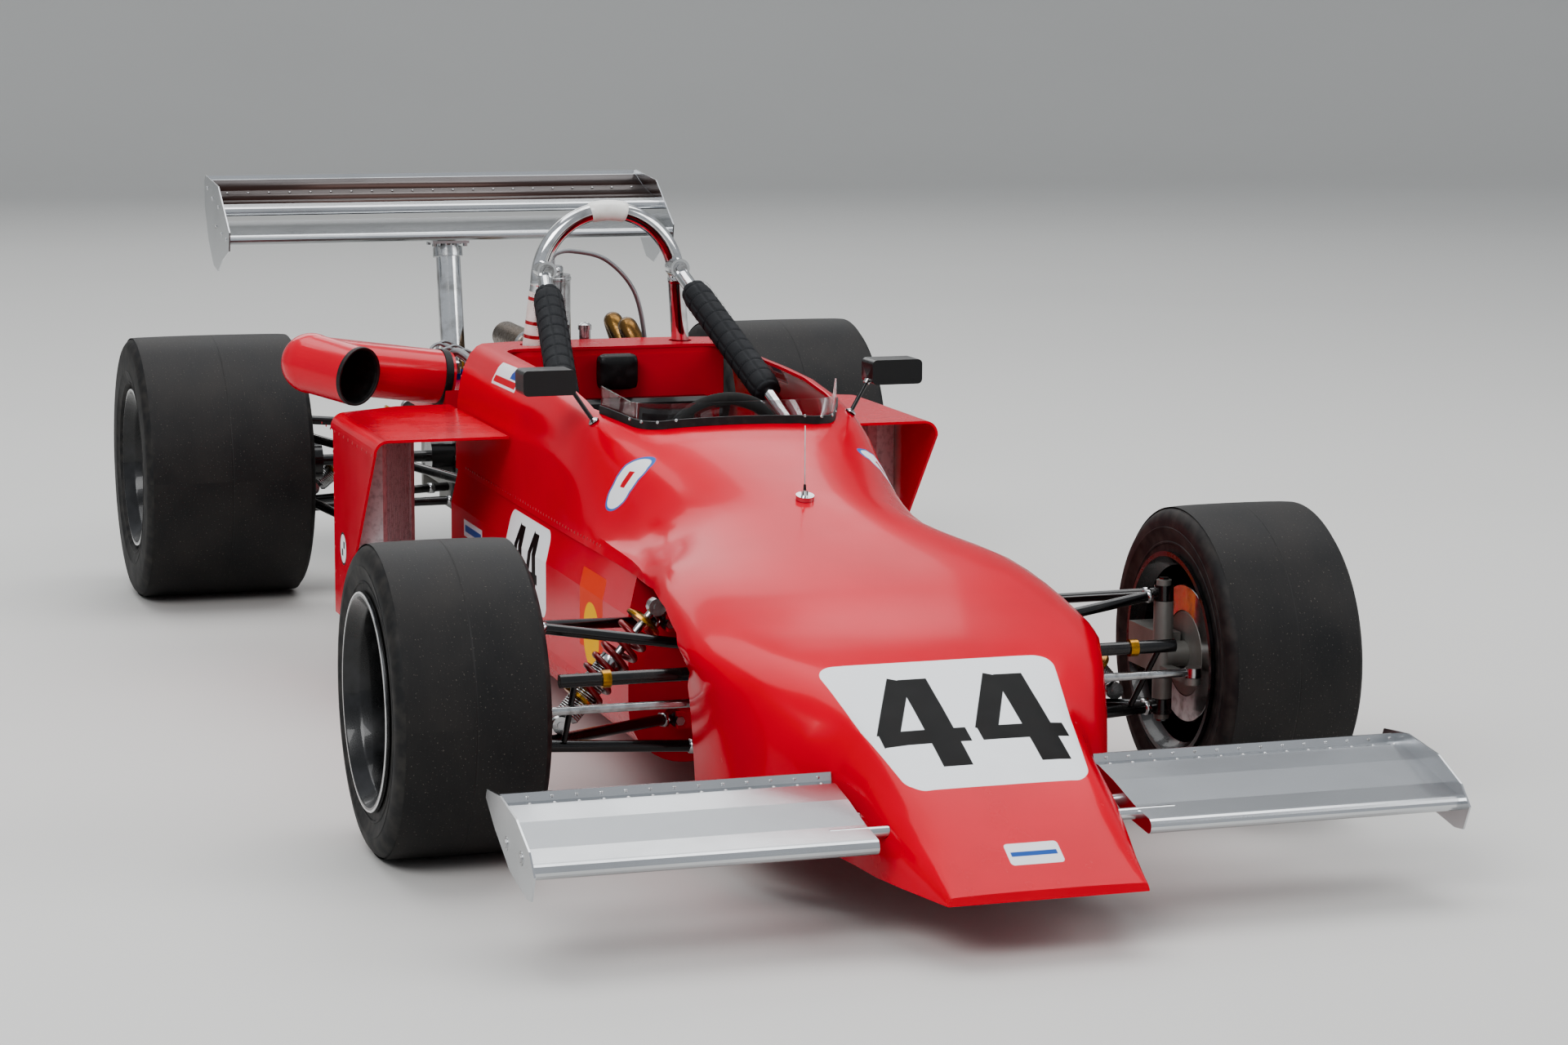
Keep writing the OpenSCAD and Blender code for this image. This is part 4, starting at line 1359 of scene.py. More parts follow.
@dataclass
class Studio:
    """Camera, soft lights and a pale floor."""

    eye: Vector = field(default_factory=lambda: front(-1909.75, -5504.08, 1422.64))
    yaw: float = 18.0
    pitch: float = 8.94
    roll: float = 0.27
    lens: float = 82.04
    floor_half: float = 30.0

    def camera(self) -> None:
        """Stands the camera at the viewing angle."""
        data = bpy.data.cameras.new("camera")
        data.lens, data.sensor_width, data.sensor_fit = self.lens, 36.0, "HORIZONTAL"
        data.clip_end = 200.0
        made = bpy.data.objects.new("camera", data)
        bpy.context.scene.collection.objects.link(made)
        made.location = self.eye
        turned = Euler((math.radians(90 - self.pitch), 0, -math.radians(self.yaw))).to_matrix()
        made.rotation_euler = (turned @ Matrix.Rotation(math.radians(self.roll), 3, "Z")).to_euler()
        bpy.context.scene.camera = made

    def lamp(self, name: str, place: Triple, size: float, power: float, colour: str = "#ffffff") -> None:
        """Hangs one soft panel of light that faces the car.

        Args:
            name: The lamp's name.
            place: Where it hangs.
            size: Its longer side in metres.
            power: Its power in watts.
            colour: Its colour.
        """
        data = bpy.data.lights.new(name, "AREA")
        data.shape, data.size, data.size_y = "RECTANGLE", size, size * 0.6
        data.energy, data.color = power, linear(colour)[:3]
        made = bpy.data.objects.new(name, data)
        bpy.context.scene.collection.objects.link(made)
        made.location = place
        made.rotation_euler = (Vector((0, 0, 0.4)) - Vector(place)).to_track_quat("-Z", "Y").to_euler()

    def floor(self) -> None:
        """Lays a pale floor that turns up far behind the car."""
        h, data = self.floor_half, bpy.data.meshes.new("floor")
        steps = [(-h, 0.0), (h * 0.5, 0.0)] + [
            (
                h * 0.5 + 6 * math.sin(a), 6 - 6 * math.cos(a),
            ) for a in (math.pi / 2 * k / 10 for k in range(1, 11))
        ] + [(h * 0.5 + 6, 14.0)]
        verts = [(x, y, z) for y, z in steps for x in (-h, h)]
        data.from_pydata(verts, [], [(2 * i, 2 * i + 1, 2 * i + 3, 2 * i + 2) for i in range(len(steps) - 1)])
        data.polygons.foreach_set("use_smooth", [True] * len(data.polygons))
        # An even ground that takes soft shadows and has no pattern of its own.
        finish = Finish(
            "pale floor, painted", "#d3d2cf", "#d0cfcc", 0.6, 0.02, grain_mm=2500, tooth_mm=900, depth_mm=0.0,
        )
        data.materials.append(finish.material())
        made = bpy.data.objects.new("floor", data)
        bpy.context.scene.collection.objects.link(made)

    def build(self) -> None:
        """Sets the whole studio up."""
        self.camera()
        self.floor()
        self.lamp("key", (-5.5, -6.0, 6.5), 6.5, 420)
        self.lamp("fill", (6.5, -4.0, 4.5), 6.0, 170)
        self.lamp("top", (0.5, 1.5, 7.5), 9.0, 330)
        self.lamp("back", (1.0, 11.0, 7.0), 9.0, 230)
        world = bpy.data.worlds.new("soft_sky")
        world.use_nodes = True
        world.node_tree.nodes["Background"].inputs[0].default_value = linear("#dfe3e8")
        world.node_tree.nodes["Background"].inputs[1].default_value = 0.62
        bpy.context.scene.world = world
        bpy.context.scene.view_settings.view_transform = "AgX"
        bpy.context.scene.view_settings.look = "AgX - Medium High Contrast"


# ---------------------------------------------------------------- wheels


@dataclass
class Wheel:
    """One wheel: slick tyre, split rim with its polished lip, nut, brake disc and bolts."""

    axle: str
    side: Side
    shop: Workshop
    bead_r: float = 0.1653
    flange_r: float = 0.1765
    segments: int = 144
    dish: float = field(init=False)

    def __post_init__(self) -> None:
        """Takes the wheel's own sizes from its CAD boxes."""
        low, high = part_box(f"{self.axle}_tyre_{self.side.word}")
        self.centre = (Vector(low) + Vector(high)) / 2
        self.radius, self.half = (high[2] - low[2]) / 2, (high[0] - low[0]) / 2
        self.rim_half = self.half + (0.002 if self.axle == "front" else -0.009)
        self.dish = 0.095 if self.axle == "front" else 0.150
        self.place = facing(self.centre, Vector((self.side.value, 0, 0)))
        self.body = f"{self.axle}_{self.side.word}_wheel"
        self.tag = f"{self.axle}_{self.side.word}"

    def tyre_profile(self) -> tuple[list[Pair], int]:
        """Radius and width pairs round the whole section, and the pair at the tread's middle.

        Returns:
            The pairs, and the number of the middle one.
        """
        r, w, bead = self.radius, self.half, self.rim_half - 0.0093
        wall = [
            (self.bead_r, bead), (0.178, bead + 0.0004), (0.184, bead + 0.0006), (0.1885, w - 0.0062),
            (0.190, w - 0.0044),
            (0.1925, w - 0.0044), (0.194, w - 0.0056), (0.199, w - 0.0048), (0.206, w - 0.0026),
            (0.2145, w - 0.0006),
            (0.2155, w), (0.2175, w), (0.2185, w - 0.0008),
        ]
        shoulder = [
            (r - 0.030 + 0.0292 * math.sin(a), w - 0.030 + 0.0295 * math.cos(a))
            for a in (math.radians(d) for d in (8, 20, 32, 44, 56, 68))
        ]
        tread = [
            (r - 0.0026, w - 0.014), (r - 0.0014, w - 0.030), (r - 0.0006, w * 0.55), (r - 0.0002, w * 0.25),
        ]
        half = wall + shoulder + tread
        inner = [
            (r - 0.012, 0.0), (r - 0.012, w - 0.04), (r - 0.022, w - 0.018), (0.215, w - 0.011),
            (0.188, bead - 0.014), (self.bead_r, bead - 0.022),
        ]
        outer = half + [(r, 0.0)] + [(a, -b) for a, b in reversed(half)]
        under = [(a, -b) for a, b in reversed(inner[1:])] + inner
        return outer + under, len(half)

    def tyre(self) -> None:
        """Builds the tyre."""
        profile, zero = self.tyre_profile()
        finish = Rubber(
            f"slick tyre rubber, {self.axle}", "#151516", "#2c2927", 0.6, half_tread=self.half * 0.93
        )
        name = f"{self.axle}_tyre_{self.side.word}"
        Solid(finish).lathe(profile, self.place, self.segments, True, zero).piece(
            f"slick_{name}", self.body, 32, [name], recalculate=False
        )

    def rim(self) -> None:
        """Builds the rim, its polished lip, the dished disc with its ribs, and the bolts."""
        half, disc = self.rim_half, self.rim_half - self.dish
        barrel = [
            (0.152, disc - 0.006), (0.152, -half + 0.022), (0.163, -half + 0.012), (0.168, -half),
            (self.flange_r, -half),
            (self.flange_r, -half + 0.006), (0.165, -half + 0.009), (0.165, -half + 0.032),
            (0.157, -half + 0.046),
            (0.157, half - 0.046), (0.165, half - 0.032), (0.165, half - 0.009),
            (self.flange_r, half - 0.006),
        ]
        lip = [
            (self.flange_r, half - 0.006), (self.flange_r, half - 0.0008), (0.1757, half), (0.1728, half),
        ]
        inner = [
            (0.1728, half), (0.1688, half), (0.1672, half - 0.002), (0.163, half - 0.012),
            (0.1545, half - 0.021), (0.152, half - 0.026),
            (0.152, disc + 0.012),
        ]
        face = [
            (0.149, disc + 0.0072), (0.140, disc + 0.006), (0.128, disc + 0.006), (0.124, disc + 0.003),
            (0.082, disc + 0.003),
            (0.078, disc + 0.006), (0.056, disc + 0.008), (0.048, disc + 0.014), (0.044, disc + 0.024),
            (0.0, disc + 0.024),
        ]
        back = [(0.0, disc - 0.012), (0.038, disc - 0.012), (0.04, disc - 0.006), (0.152, disc - 0.006)]
        solid = Solid(FINISHES["rim_black"])
        solid.lathe(barrel, self.place, self.segments)
        solid.lathe(inner + face, self.place, self.segments)
        solid.lathe(back, self.place, self.segments)
        solid.use(FINISHES["polished_lip"]).lathe(lip, self.place, self.segments)
        solid.piece(f"rim_{self.tag}", self.body, 30)
        ribs = Solid(FINISHES["rim_black"])
        for k in range(12):
            turned = self.place @ Matrix.Rotation(math.tau * (k + 0.5) / 12, 4, "Z")
            ribs.block((0.042, 0.007, 0.006), turned @ moved((0.103, 0, disc + 0.005)), 0.0018)
        ribs.piece(f"rim_ribs_{self.tag}", self.body)
        out = Vector((self.side.value, 0, 0))
        self.shop.fasten(
            f"rim_bolts_{self.tag}", self.body,
            circle_spots(self.centre + out * (disc + 0.008), out, 0.140, 20), 0.0042, 0.004, Head.CUP,
        )
        self.shop.fasten(
            f"drive_pegs_{self.tag}", self.body,
            circle_spots(self.centre + out * (disc + 0.010), out, 0.066, 6, 0.3), 0.0075, 0.005, Head.HEX,
        )

    def hub(self) -> None:
        """Builds the hub, the wheel nut with its safety clip, and the brake disc."""
        disc = self.rim_half - self.dish
        front_axle = self.axle == "front"
        nut_at = disc + (0.025 if front_axle else 0.030)
        nut_r = 0.024 if front_axle else 0.028
        solid = Solid(FINISHES["bright_steel"])
        length = 0.022 if front_axle else 0.026
        solid.plate(hexagon(nut_r), length * 0.62, self.place @ moved((0, 0, nut_at)))
        solid.lathe(
            [
                (0.0, nut_at), (nut_r * 1.15, nut_at), (nut_r * 1.15, nut_at + 0.003),
                (nut_r * 0.98, nut_at + 0.005), (0, nut_at + 0.005),
            ],
            self.place, 36,
        )
        solid.lathe(
            [
                (0.011, nut_at + length * 0.5), (0.011, nut_at + length - 0.001), (0.010, nut_at + length),
                (0.0065, nut_at + length), (0.006, nut_at + length - 0.008), (0, nut_at + length - 0.008),
            ],
            self.place, 24,
        )
        loop = [
            self.place @ Vector((0.013 * math.cos(a), 0.013 * math.sin(a), nut_at + length * 0.8))
            for a in (math.tau * k / 18 for k in range(16))
        ]
        solid.tube(loop, 0.0011, 8)
        solid.piece(f"wheel_nut_{self.tag}", self.body, 40)
        self.brake(disc)

    def brake(self, disc: float) -> None:
        """Builds the vented brake disc on its bell, on the inboard side.

        Args:
            disc: Where the rim's centre face stands, from the wheel's middle.
        """
        r, inner, at = (0.118, 0.0225, -0.0965 + 0.005) if self.axle == "front" else (0.125, 0.029, -0.049)
        shell = Solid(FINISHES["bright_steel"])
        t = 0.005
        shell.lathe(
            [
                (r - 0.044, at - t), (r - 0.001, at - t), (r, at - t + 0.001), (r, at - 0.0018),
                (r - 0.044, at - 0.0018),
            ],
            self.place, 72, True,
        )
        shell.lathe(
            [
                (r - 0.044, at + 0.0018), (r, at + 0.0018), (r, at + t - 0.001), (r - 0.001, at + t),
                (r - 0.044, at + t),
            ],
            self.place, 72, True,
        )
        shell.use(FINISHES["cast_alloy"])
        shell.lathe(
            [
                (inner, at - t), (r - 0.046, at - t), (r - 0.044, at - 0.002), (r - 0.044, at + 0.002),
                (r - 0.046, at + t), (inner, at + t),
            ],
            self.place, 72, True,
        )
        end = disc - 0.006
        shell.lathe([(inner, at), (0.038, at), (0.038, end), (inner, end)], self.place, 48, True)
        if self.axle == "rear":
            shell.use(FINISHES["bright_steel"])
            low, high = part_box(f"rear_rim_{self.side.word}")
            start = (low[0] if self.side is Side.LEFT else -high[0]) - abs(self.centre.x)
            shell.lathe([(0, start), (0.0278, start), (0.0278, end), (0, end)], self.place, 40)
        shell.piece(f"brake_disc_{self.tag}", self.body, 30, [f"{self.axle}_rim_{self.side.word}"])
        self.shop.fasten(
            f"disc_bolts_{self.tag}", self.body,
            circle_spots(
                self.centre + Vector((self.side.value, 0, 0)) * (at + t), Vector((self.side.value, 0, 0)),
                0.064, 8,
            ),
            0.0042, 0.003, Head.HEX,
        )

    def valve(self) -> None:
        """Adds the rubber valve and its cap inside the rim."""
        base = self.place @ Vector((0.149, 0, self.rim_half - 0.034))
        tip = self.place @ Vector((0.139, 0, self.rim_half - 0.014))
        solid = Solid(FINISHES["black_rubber"])
        solid.tube(
            [base, base.lerp(tip, 0.5), base.lerp(tip, 0.5), tip], [0.0048, 0.0036, 0.0028, 0.0028], 12,
        )
        solid.use(FINISHES["bright_steel"]).tube(
            [base.lerp(tip, 0.72), tip + (tip - base) * 0.02], 0.0034, 10,
        )
        solid.piece(f"valve_{self.tag}", self.body)

    def build(self) -> None:
        """Builds every piece of the wheel."""
        self.tyre()
        self.rim()
        self.hub()
        self.valve()


# ---------------------------------------------------------------- bodywork


@dataclass
class Bodywork:
    """Painted shells: nose and cowl, tub and side pods, with panels, rivets and fasteners."""

    shop: Workshop
    red: str = "#d90727"
    red_deep: str = "#cc0622"
    rivet_radius: float = 0.0026
    strip_foot: float = 0.6262

    def enamel(self) -> Enamel:
        """The red finish with its race panels, placed from the shell's own box.

        Returns:
            The finish.
        """
        fy = FRONT_HUB.y
        top = {"window": (0.1, 0.5)}
        side = {"window": (0.24, 0.45), "both_sides": True}
        high = {"window": (0.15, 0.45), "both_sides": True}
        pod = {"window": (0.5, 9.0), "both_sides": True}
        number_y, number_z = fy + 0.98, 0.296
        oval_y, oval_z = fy + 0.54, 0.505
        marks = [
            Mark((0.0, fy - 0.53), (0.1705, 0.152), "#eceef0", "Z", 0.03, 0.0, 1.06, **top),
            *numeral(-0.150, fy - 0.635, 0.21, "Z", **top),
            *numeral(0.008, fy - 0.635, 0.21, "Z", **top),
            Mark((0.0, fy - 0.81), (0.042, 0.019), "#e9ebee", "Z", 0.006, **top),
            Mark((0.0, fy - 0.81), (0.036, 0.004), "#2d5aa6", "Z", 0.001, **top),
            Mark((number_y, number_z), (0.155, 0.082), "#eceef0", "X", 0.025, **side),
            *numeral(-0.104, number_z - 0.062, 0.125, "X", number_y, **side),
            *numeral(0.002, number_z - 0.062, 0.125, "X", number_y, **side),
            Mark((fy + 0.5, 0.285), (0.078, 0.07), "#e2401c", "X", 0.004, **side),
            Mark((fy + 0.5, 0.244), (0.052, 0.058), "#f6b800", "X", 0.05, **side),
            Mark((oval_y, oval_z), (0.031, 0.047), "#3f6fb5", "X", 0.030, **high),
            Mark((oval_y, oval_z), (0.027, 0.043), "#eceef0", "X", 0.026, **high),
            Mark((oval_y, oval_z + 0.008), (0.007, 0.014), "#c8202c", "X", 0.002, **high),
            Mark((fy + 1.29, 0.612), (0.09, 0.02), "#eceef0", "X", 0.003, **side),
            Mark((fy + 1.29, 0.603), (0.082, 0.006), "#c8202c", "X", 0.001, **side),
            Mark((fy + 1.24, 0.62), (0.03, 0.008), "#34509c", "X", 0.001, **side),
            Mark((fy + 1.42, 0.285), (0.08, 0.017), "#dfe3ea", "X", 0.002, **side),
            Mark((fy + 1.42, 0.285), (0.07, 0.007), "#3c5fae", "X", 0.001, **side),
            Mark((fy + 1.458, 0.259), (0.033, 0.033), "#15161a", "X", 0.0325, **pod),
            Mark((fy + 1.458, 0.259), (0.029, 0.029), "#eceef0", "X", 0.0285, **pod),
            Mark((fy + 1.45, 0.267), (0.007, 0.007), "#15161a", "X", 0.0005, **pod),
            Mark((fy + 1.466, 0.251), (0.007, 0.007), "#15161a", "X", 0.0005, **pod),
        ]
        return Enamel(ENAMEL, self.red, self.red_deep, 0.2, coat=0.22, marks=tuple(marks))

    def shells(self) -> None:
        """Smooth copies of the moulded shells, and the finish on the folded ones."""
        paint = self.enamel()
        shell = Solid(paint).copy_of("bodywork")
        shell.piece("painted_bodywork", "chassis", 38, ["bodywork"], recalculate=False)
        dress(paint, "side_pod_left", "side_pod_right", "tub")

    def rivets(self) -> None:
        """Runs rivets along the seam between tub and cowl, then closes the slit behind the bulkhead."""
        fy = FRONT_HUB.y
        shell = Surface(bpy.data.objects["painted_bodywork"])
        spots = []
        for side in Side:
            starts = [Vector((side.value, y, 0.403)) for y in (fy + 0.5 + 0.02 * k for k in range(52))]
            spots += shell.line(starts, Vector((-side.value, 0, 0)))
        self.shop.fasten(
            "seam_rivets", "chassis", spots, self.rivet_radius, 0.0012, finish=FINISHES["rivet_red"],
        )
        self.closing_strip(shell)

    def closing_strip(self, shell: Surface) -> None:
        """Closes the slit between the bulkhead's top and the deck with a thin red strip.

        Args:
            shell: The painted shell, whose underside the strip's upper edge follows.
        """
        up = Vector((0, 0, 1))
        tops = [(x / 1000, shell.hit(front(x, 1506, 615), up)) for x in range(-250, 251, 10)]
        edge = [(x, found[0].z + 0.0004) for x, found in tops if found and found[0].z < 0.66]
        if edge:
            outline = [(edge[0][0], self.strip_foot), (edge[-1][0], self.strip_foot)] + edge[::-1]
            strip = Solid(FINISHES["intake_red"])
            strip.plate(outline, 0.004, standing(front(0, 1501.5, 0)))
            strip.piece("deck_closing_strip", "chassis")

    def build(self) -> None:
        """Builds every painted piece."""
        self.shells()
        self.rivets()


# ---------------------------------------------------------------- soft pads


@dataclass
class Padding:
    """Swells a closed shape as stuffed cloth does, then sinks its sewn channels."""

    voxel: float = 0.005
    cap: float = 0.006
    pressure: float = 4.0
    frames: int = 20

    def settle_mesh(self, made: bpy.types.Object) -> None:
        """Makes the evaluated shape the object's own mesh and clears its modifiers.

        Args:
            made: The piece.
        """
        bpy.context.view_layer.update()
        shaped = made.evaluated_get(bpy.context.evaluated_depsgraph_get())
        data = bpy.data.meshes.new_from_object(shaped)
        made.modifiers.clear()
        made.data = data

    def swell(self, made: bpy.types.Object) -> None:
        """Remeshes, inflates and caps the swelling of a piece.

        Args:
            made: The piece.
        """
        remesh = made.modifiers.new("remesh", "REMESH")
        remesh.mode, remesh.voxel_size, remesh.use_smooth_shade = "VOXEL", self.voxel, True
        self.settle_mesh(made)
        rest = [v.co.copy() for v in made.data.vertices]
        cloth = made.modifiers.new("cloth", "CLOTH")
        cloth.settings.use_pressure = True
        cloth.settings.uniform_pressure_force = self.pressure
        cloth.settings.effector_weights.gravity = 0.0
        cloth.settings.quality = 6
        cloth.collision_settings.use_collision = False
        for frame_number in range(1, self.frames + 1):
            bpy.context.scene.frame_set(frame_number)
        self.settle_mesh(made)
        bpy.context.scene.frame_set(1)
        for vertex, old in zip(made.data.vertices, rest):
            step = vertex.co - old
            if step.length > self.cap:
                vertex.co = old + step.normalized() * self.cap

    def finish(self, made: bpy.types.Object, move: Callable[[Vector], Vector]) -> None:
        """Subdivides once and moves each point, as sewing does.

        Args:
            made: The piece.
            move: Gives the new place of a point.
        """
        sub = made.modifiers.new("sub", "SUBSURF")
        sub.levels = sub.render_levels = 1
        self.settle_mesh(made)
        for vertex in made.data.vertices:
            vertex.co = move(vertex.co.copy())
        made.data.polygons.foreach_set("use_smooth", [True] * len(made.data.polygons))
        made.data.update()


@dataclass
class Safety:
    """Roll hoop with its braces, the quilted pads on them, and the headrest."""

    shop: Workshop
    bulkhead: float = 1615.0
    pad_start: float = 0.09
    pad_end: float = 0.53
    pad_radius: float = 0.0305
    quilt_pitch: float = 0.036
    groove: float = 0.0022

    def brace(self, side: Side) -> tuple[Vector, Vector]:
        """The two ends of a brace's centre line, top first.

        Args:
            side: The brace's side.

        Returns:
            Top and foot.
        """
        s = side.value
        return front(s * 140, self.bulkhead - 88, 800), front(s * 266, 719, 390.3)

    def hoop(self) -> None:
        """Chrome tubes, the white sleeve on top, the clamp bolts and the leg's label strip."""
        dress(FINISHES["chrome"], "roll_hoop")
        y = self.bulkhead - 70
        arc = [
            front(145 * math.cos(a), y, 773 + 145 * math.sin(a))
            for a in (math.radians(90 + d) for d in range(-15, 16, 2))
        ]
        sleeve = Solid(FINISHES["white_print"])
        sleeve.tube(arc, [0.0184] + [0.0212] * (len(arc) - 2) + [0.0184], 28)
        sleeve.piece("hoop_sleeve", "chassis", 50)
        bolts = []
        for side in Side:
            s = side.value
            foot, top = front(s * 181, self.bulkhead - 27, 421), front(s * 145, y, 773)
            if side is Side.RIGHT:
                strip = Solid(FINISHES["white_print"])
                strip.tube([foot.lerp(top, t) for t in (0.62, 0.68, 0.84, 0.95)], 0.0184, 26, False)
                strip.piece("hoop_leg_label", "chassis", 60, recalculate=False)
                bands = Solid(FINISHES["rivet_red"])
                for t in (0.68, 0.76, 0.9):
                    bands.tube([foot.lerp(top, t), foot.lerp(top, t + 0.02)], 0.0187, 26, False)
                bands.piece("hoop_leg_bands", "chassis", 60, recalculate=False)
            top_brace, _ = self.brace(side)
            ahead = Vector((0, -1, 0))
            bolts += [
                (top_brace + Vector((0, -0.029, 0)), ahead), (top_brace + Vector((0, 0.017, 0)), -ahead),
            ]
        self.shop.fasten("hoop_clamp_bolts", "chassis", bolts, 0.0095, 0.006, Head.HEX)
        rings = Solid(FINISHES["bright_steel"])
        for side in Side:
            place, _ = self.brace(side)
            rings.lathe(
                [(0.0, -0.0252), (0.0145, -0.0252), (0.0145, -0.0228), (0.0, -0.0228)],
                facing(place + Vector((0, -0.006, 0)), Vector((0, 1, 0))), 30,
            )
        rings.piece("hoop_clamp_washers", "chassis")

    def pads(self) -> None:
        """Quilted pads, swollen between their stitched lines."""
        for side in Side:
            top, foot = self.brace(side)
            ends = (top.lerp(foot, self.pad_start + 0.008), top.lerp(foot, self.pad_end - 0.008))
            axis = (ends[1] - ends[0]).normalized()
            count = 14
            steps = [ends[0].lerp(ends[1], k / count) for k in range(count + 1)]
            radii = [self.pad_radius * (0.86 if k in (0, count) else 1.0) for k in range(count + 1)]
            name = f"brace_pad_{side.word}"
            made = Solid(FINISHES["quilt_cloth"]).tube(steps, radii, 32).piece(name, "chassis", 60)
            padding = Padding()
            padding.swell(made)
            across = axis.orthogonal().normalized()
            other = axis.cross(across)

            def sew(
                point: Vector, start: Vector = ends[0], axis: Vector = axis, across: Vector = across,
                other: Vector = other,
            ) -> Vector:
                """Pulls a point in along the quilt's rings and lines.

                Args:
                    point: The point.
                    start: Top of the pad's axis.
                    axis: Direction of the axis.
                    across: A direction across it.
                    other: The direction across both.

                Returns:
                    The new place.
                """
                along = (point - start).dot(axis)
                out = point - start - axis * along
                if out.length < 0.016:
                    return point
                turn = math.atan2(out.dot(other), out.dot(across)) / math.tau * 6
                ring = (along / self.quilt_pitch - 0.5) % 1.0
                near = min(min(ring, 1 - ring) * self.quilt_pitch, min(turn % 1.0, 1 - turn % 1.0) * 0.035)
                return point - out.normalized() * self.groove * math.exp(-((near / 0.0032) ** 2))

            padding.finish(made, sew)
            length = (ends[1] - ends[0]).length
            threads = []
            for k in range(int(length / self.quilt_pitch)):
                centre = ends[0] + axis * (self.quilt_pitch * (k + 0.5))
                ring = circle_spots(centre, axis, self.pad_radius + 0.0015, 40)
                threads += [(p, (p - centre).normalized()) for p, _ in ring]
            self.shop.fasten(
                f"brace_pad_stitches_{side.word}", "chassis", threads, 0.0009, 0.0006,
                finish=FINISHES["thread"],
            )
        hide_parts("brace_pads")

    def headrest(self) -> None:
        """Vinyl cushion with a piped seam, flat against the bulkhead."""
        low, high = (Vector(c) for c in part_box("headrest"))
        centre, half = (low + high) / 2, (high - low) / 2
        solid = Solid(FINISHES["black_vinyl"])
        solid.block((half.x * 1.78, half.y * 1.5, half.z * 1.78), moved(centre), 0.016)
        made = solid.piece("headrest_cushion", "chassis", 60, ["headrest"])
        padding = Padding(voxel=0.0045, cap=0.008)
        padding.swell(made)
        back = high.y - 0.0002

        def sew(point: Vector) -> Vector:
            """Keeps the back flat and pulls the edge seam in.

            Args:
                point: The point.

            Returns:
                The new place.
            """
            point.y = min(point.y, back)
            offset = point - centre
            edge = max(abs(offset.x) / half.x, abs(offset.z) / half.z)
            seam = math.exp(-(((offset.y + half.y * 0.25) / 0.003) ** 2)) * (edge > 0.8)
            for axis in (0, 2):
                if abs(offset[axis]) > half[axis] * 0.6:
                    point[axis] -= math.copysign(0.0018 * seam, offset[axis])
            return point

        padding.finish(made, sew)

    def build(self) -> None:
        """Builds every piece."""
        self.hoop()
        self.pads()
        self.headrest()


# ---------------------------------------------------------------- cockpit


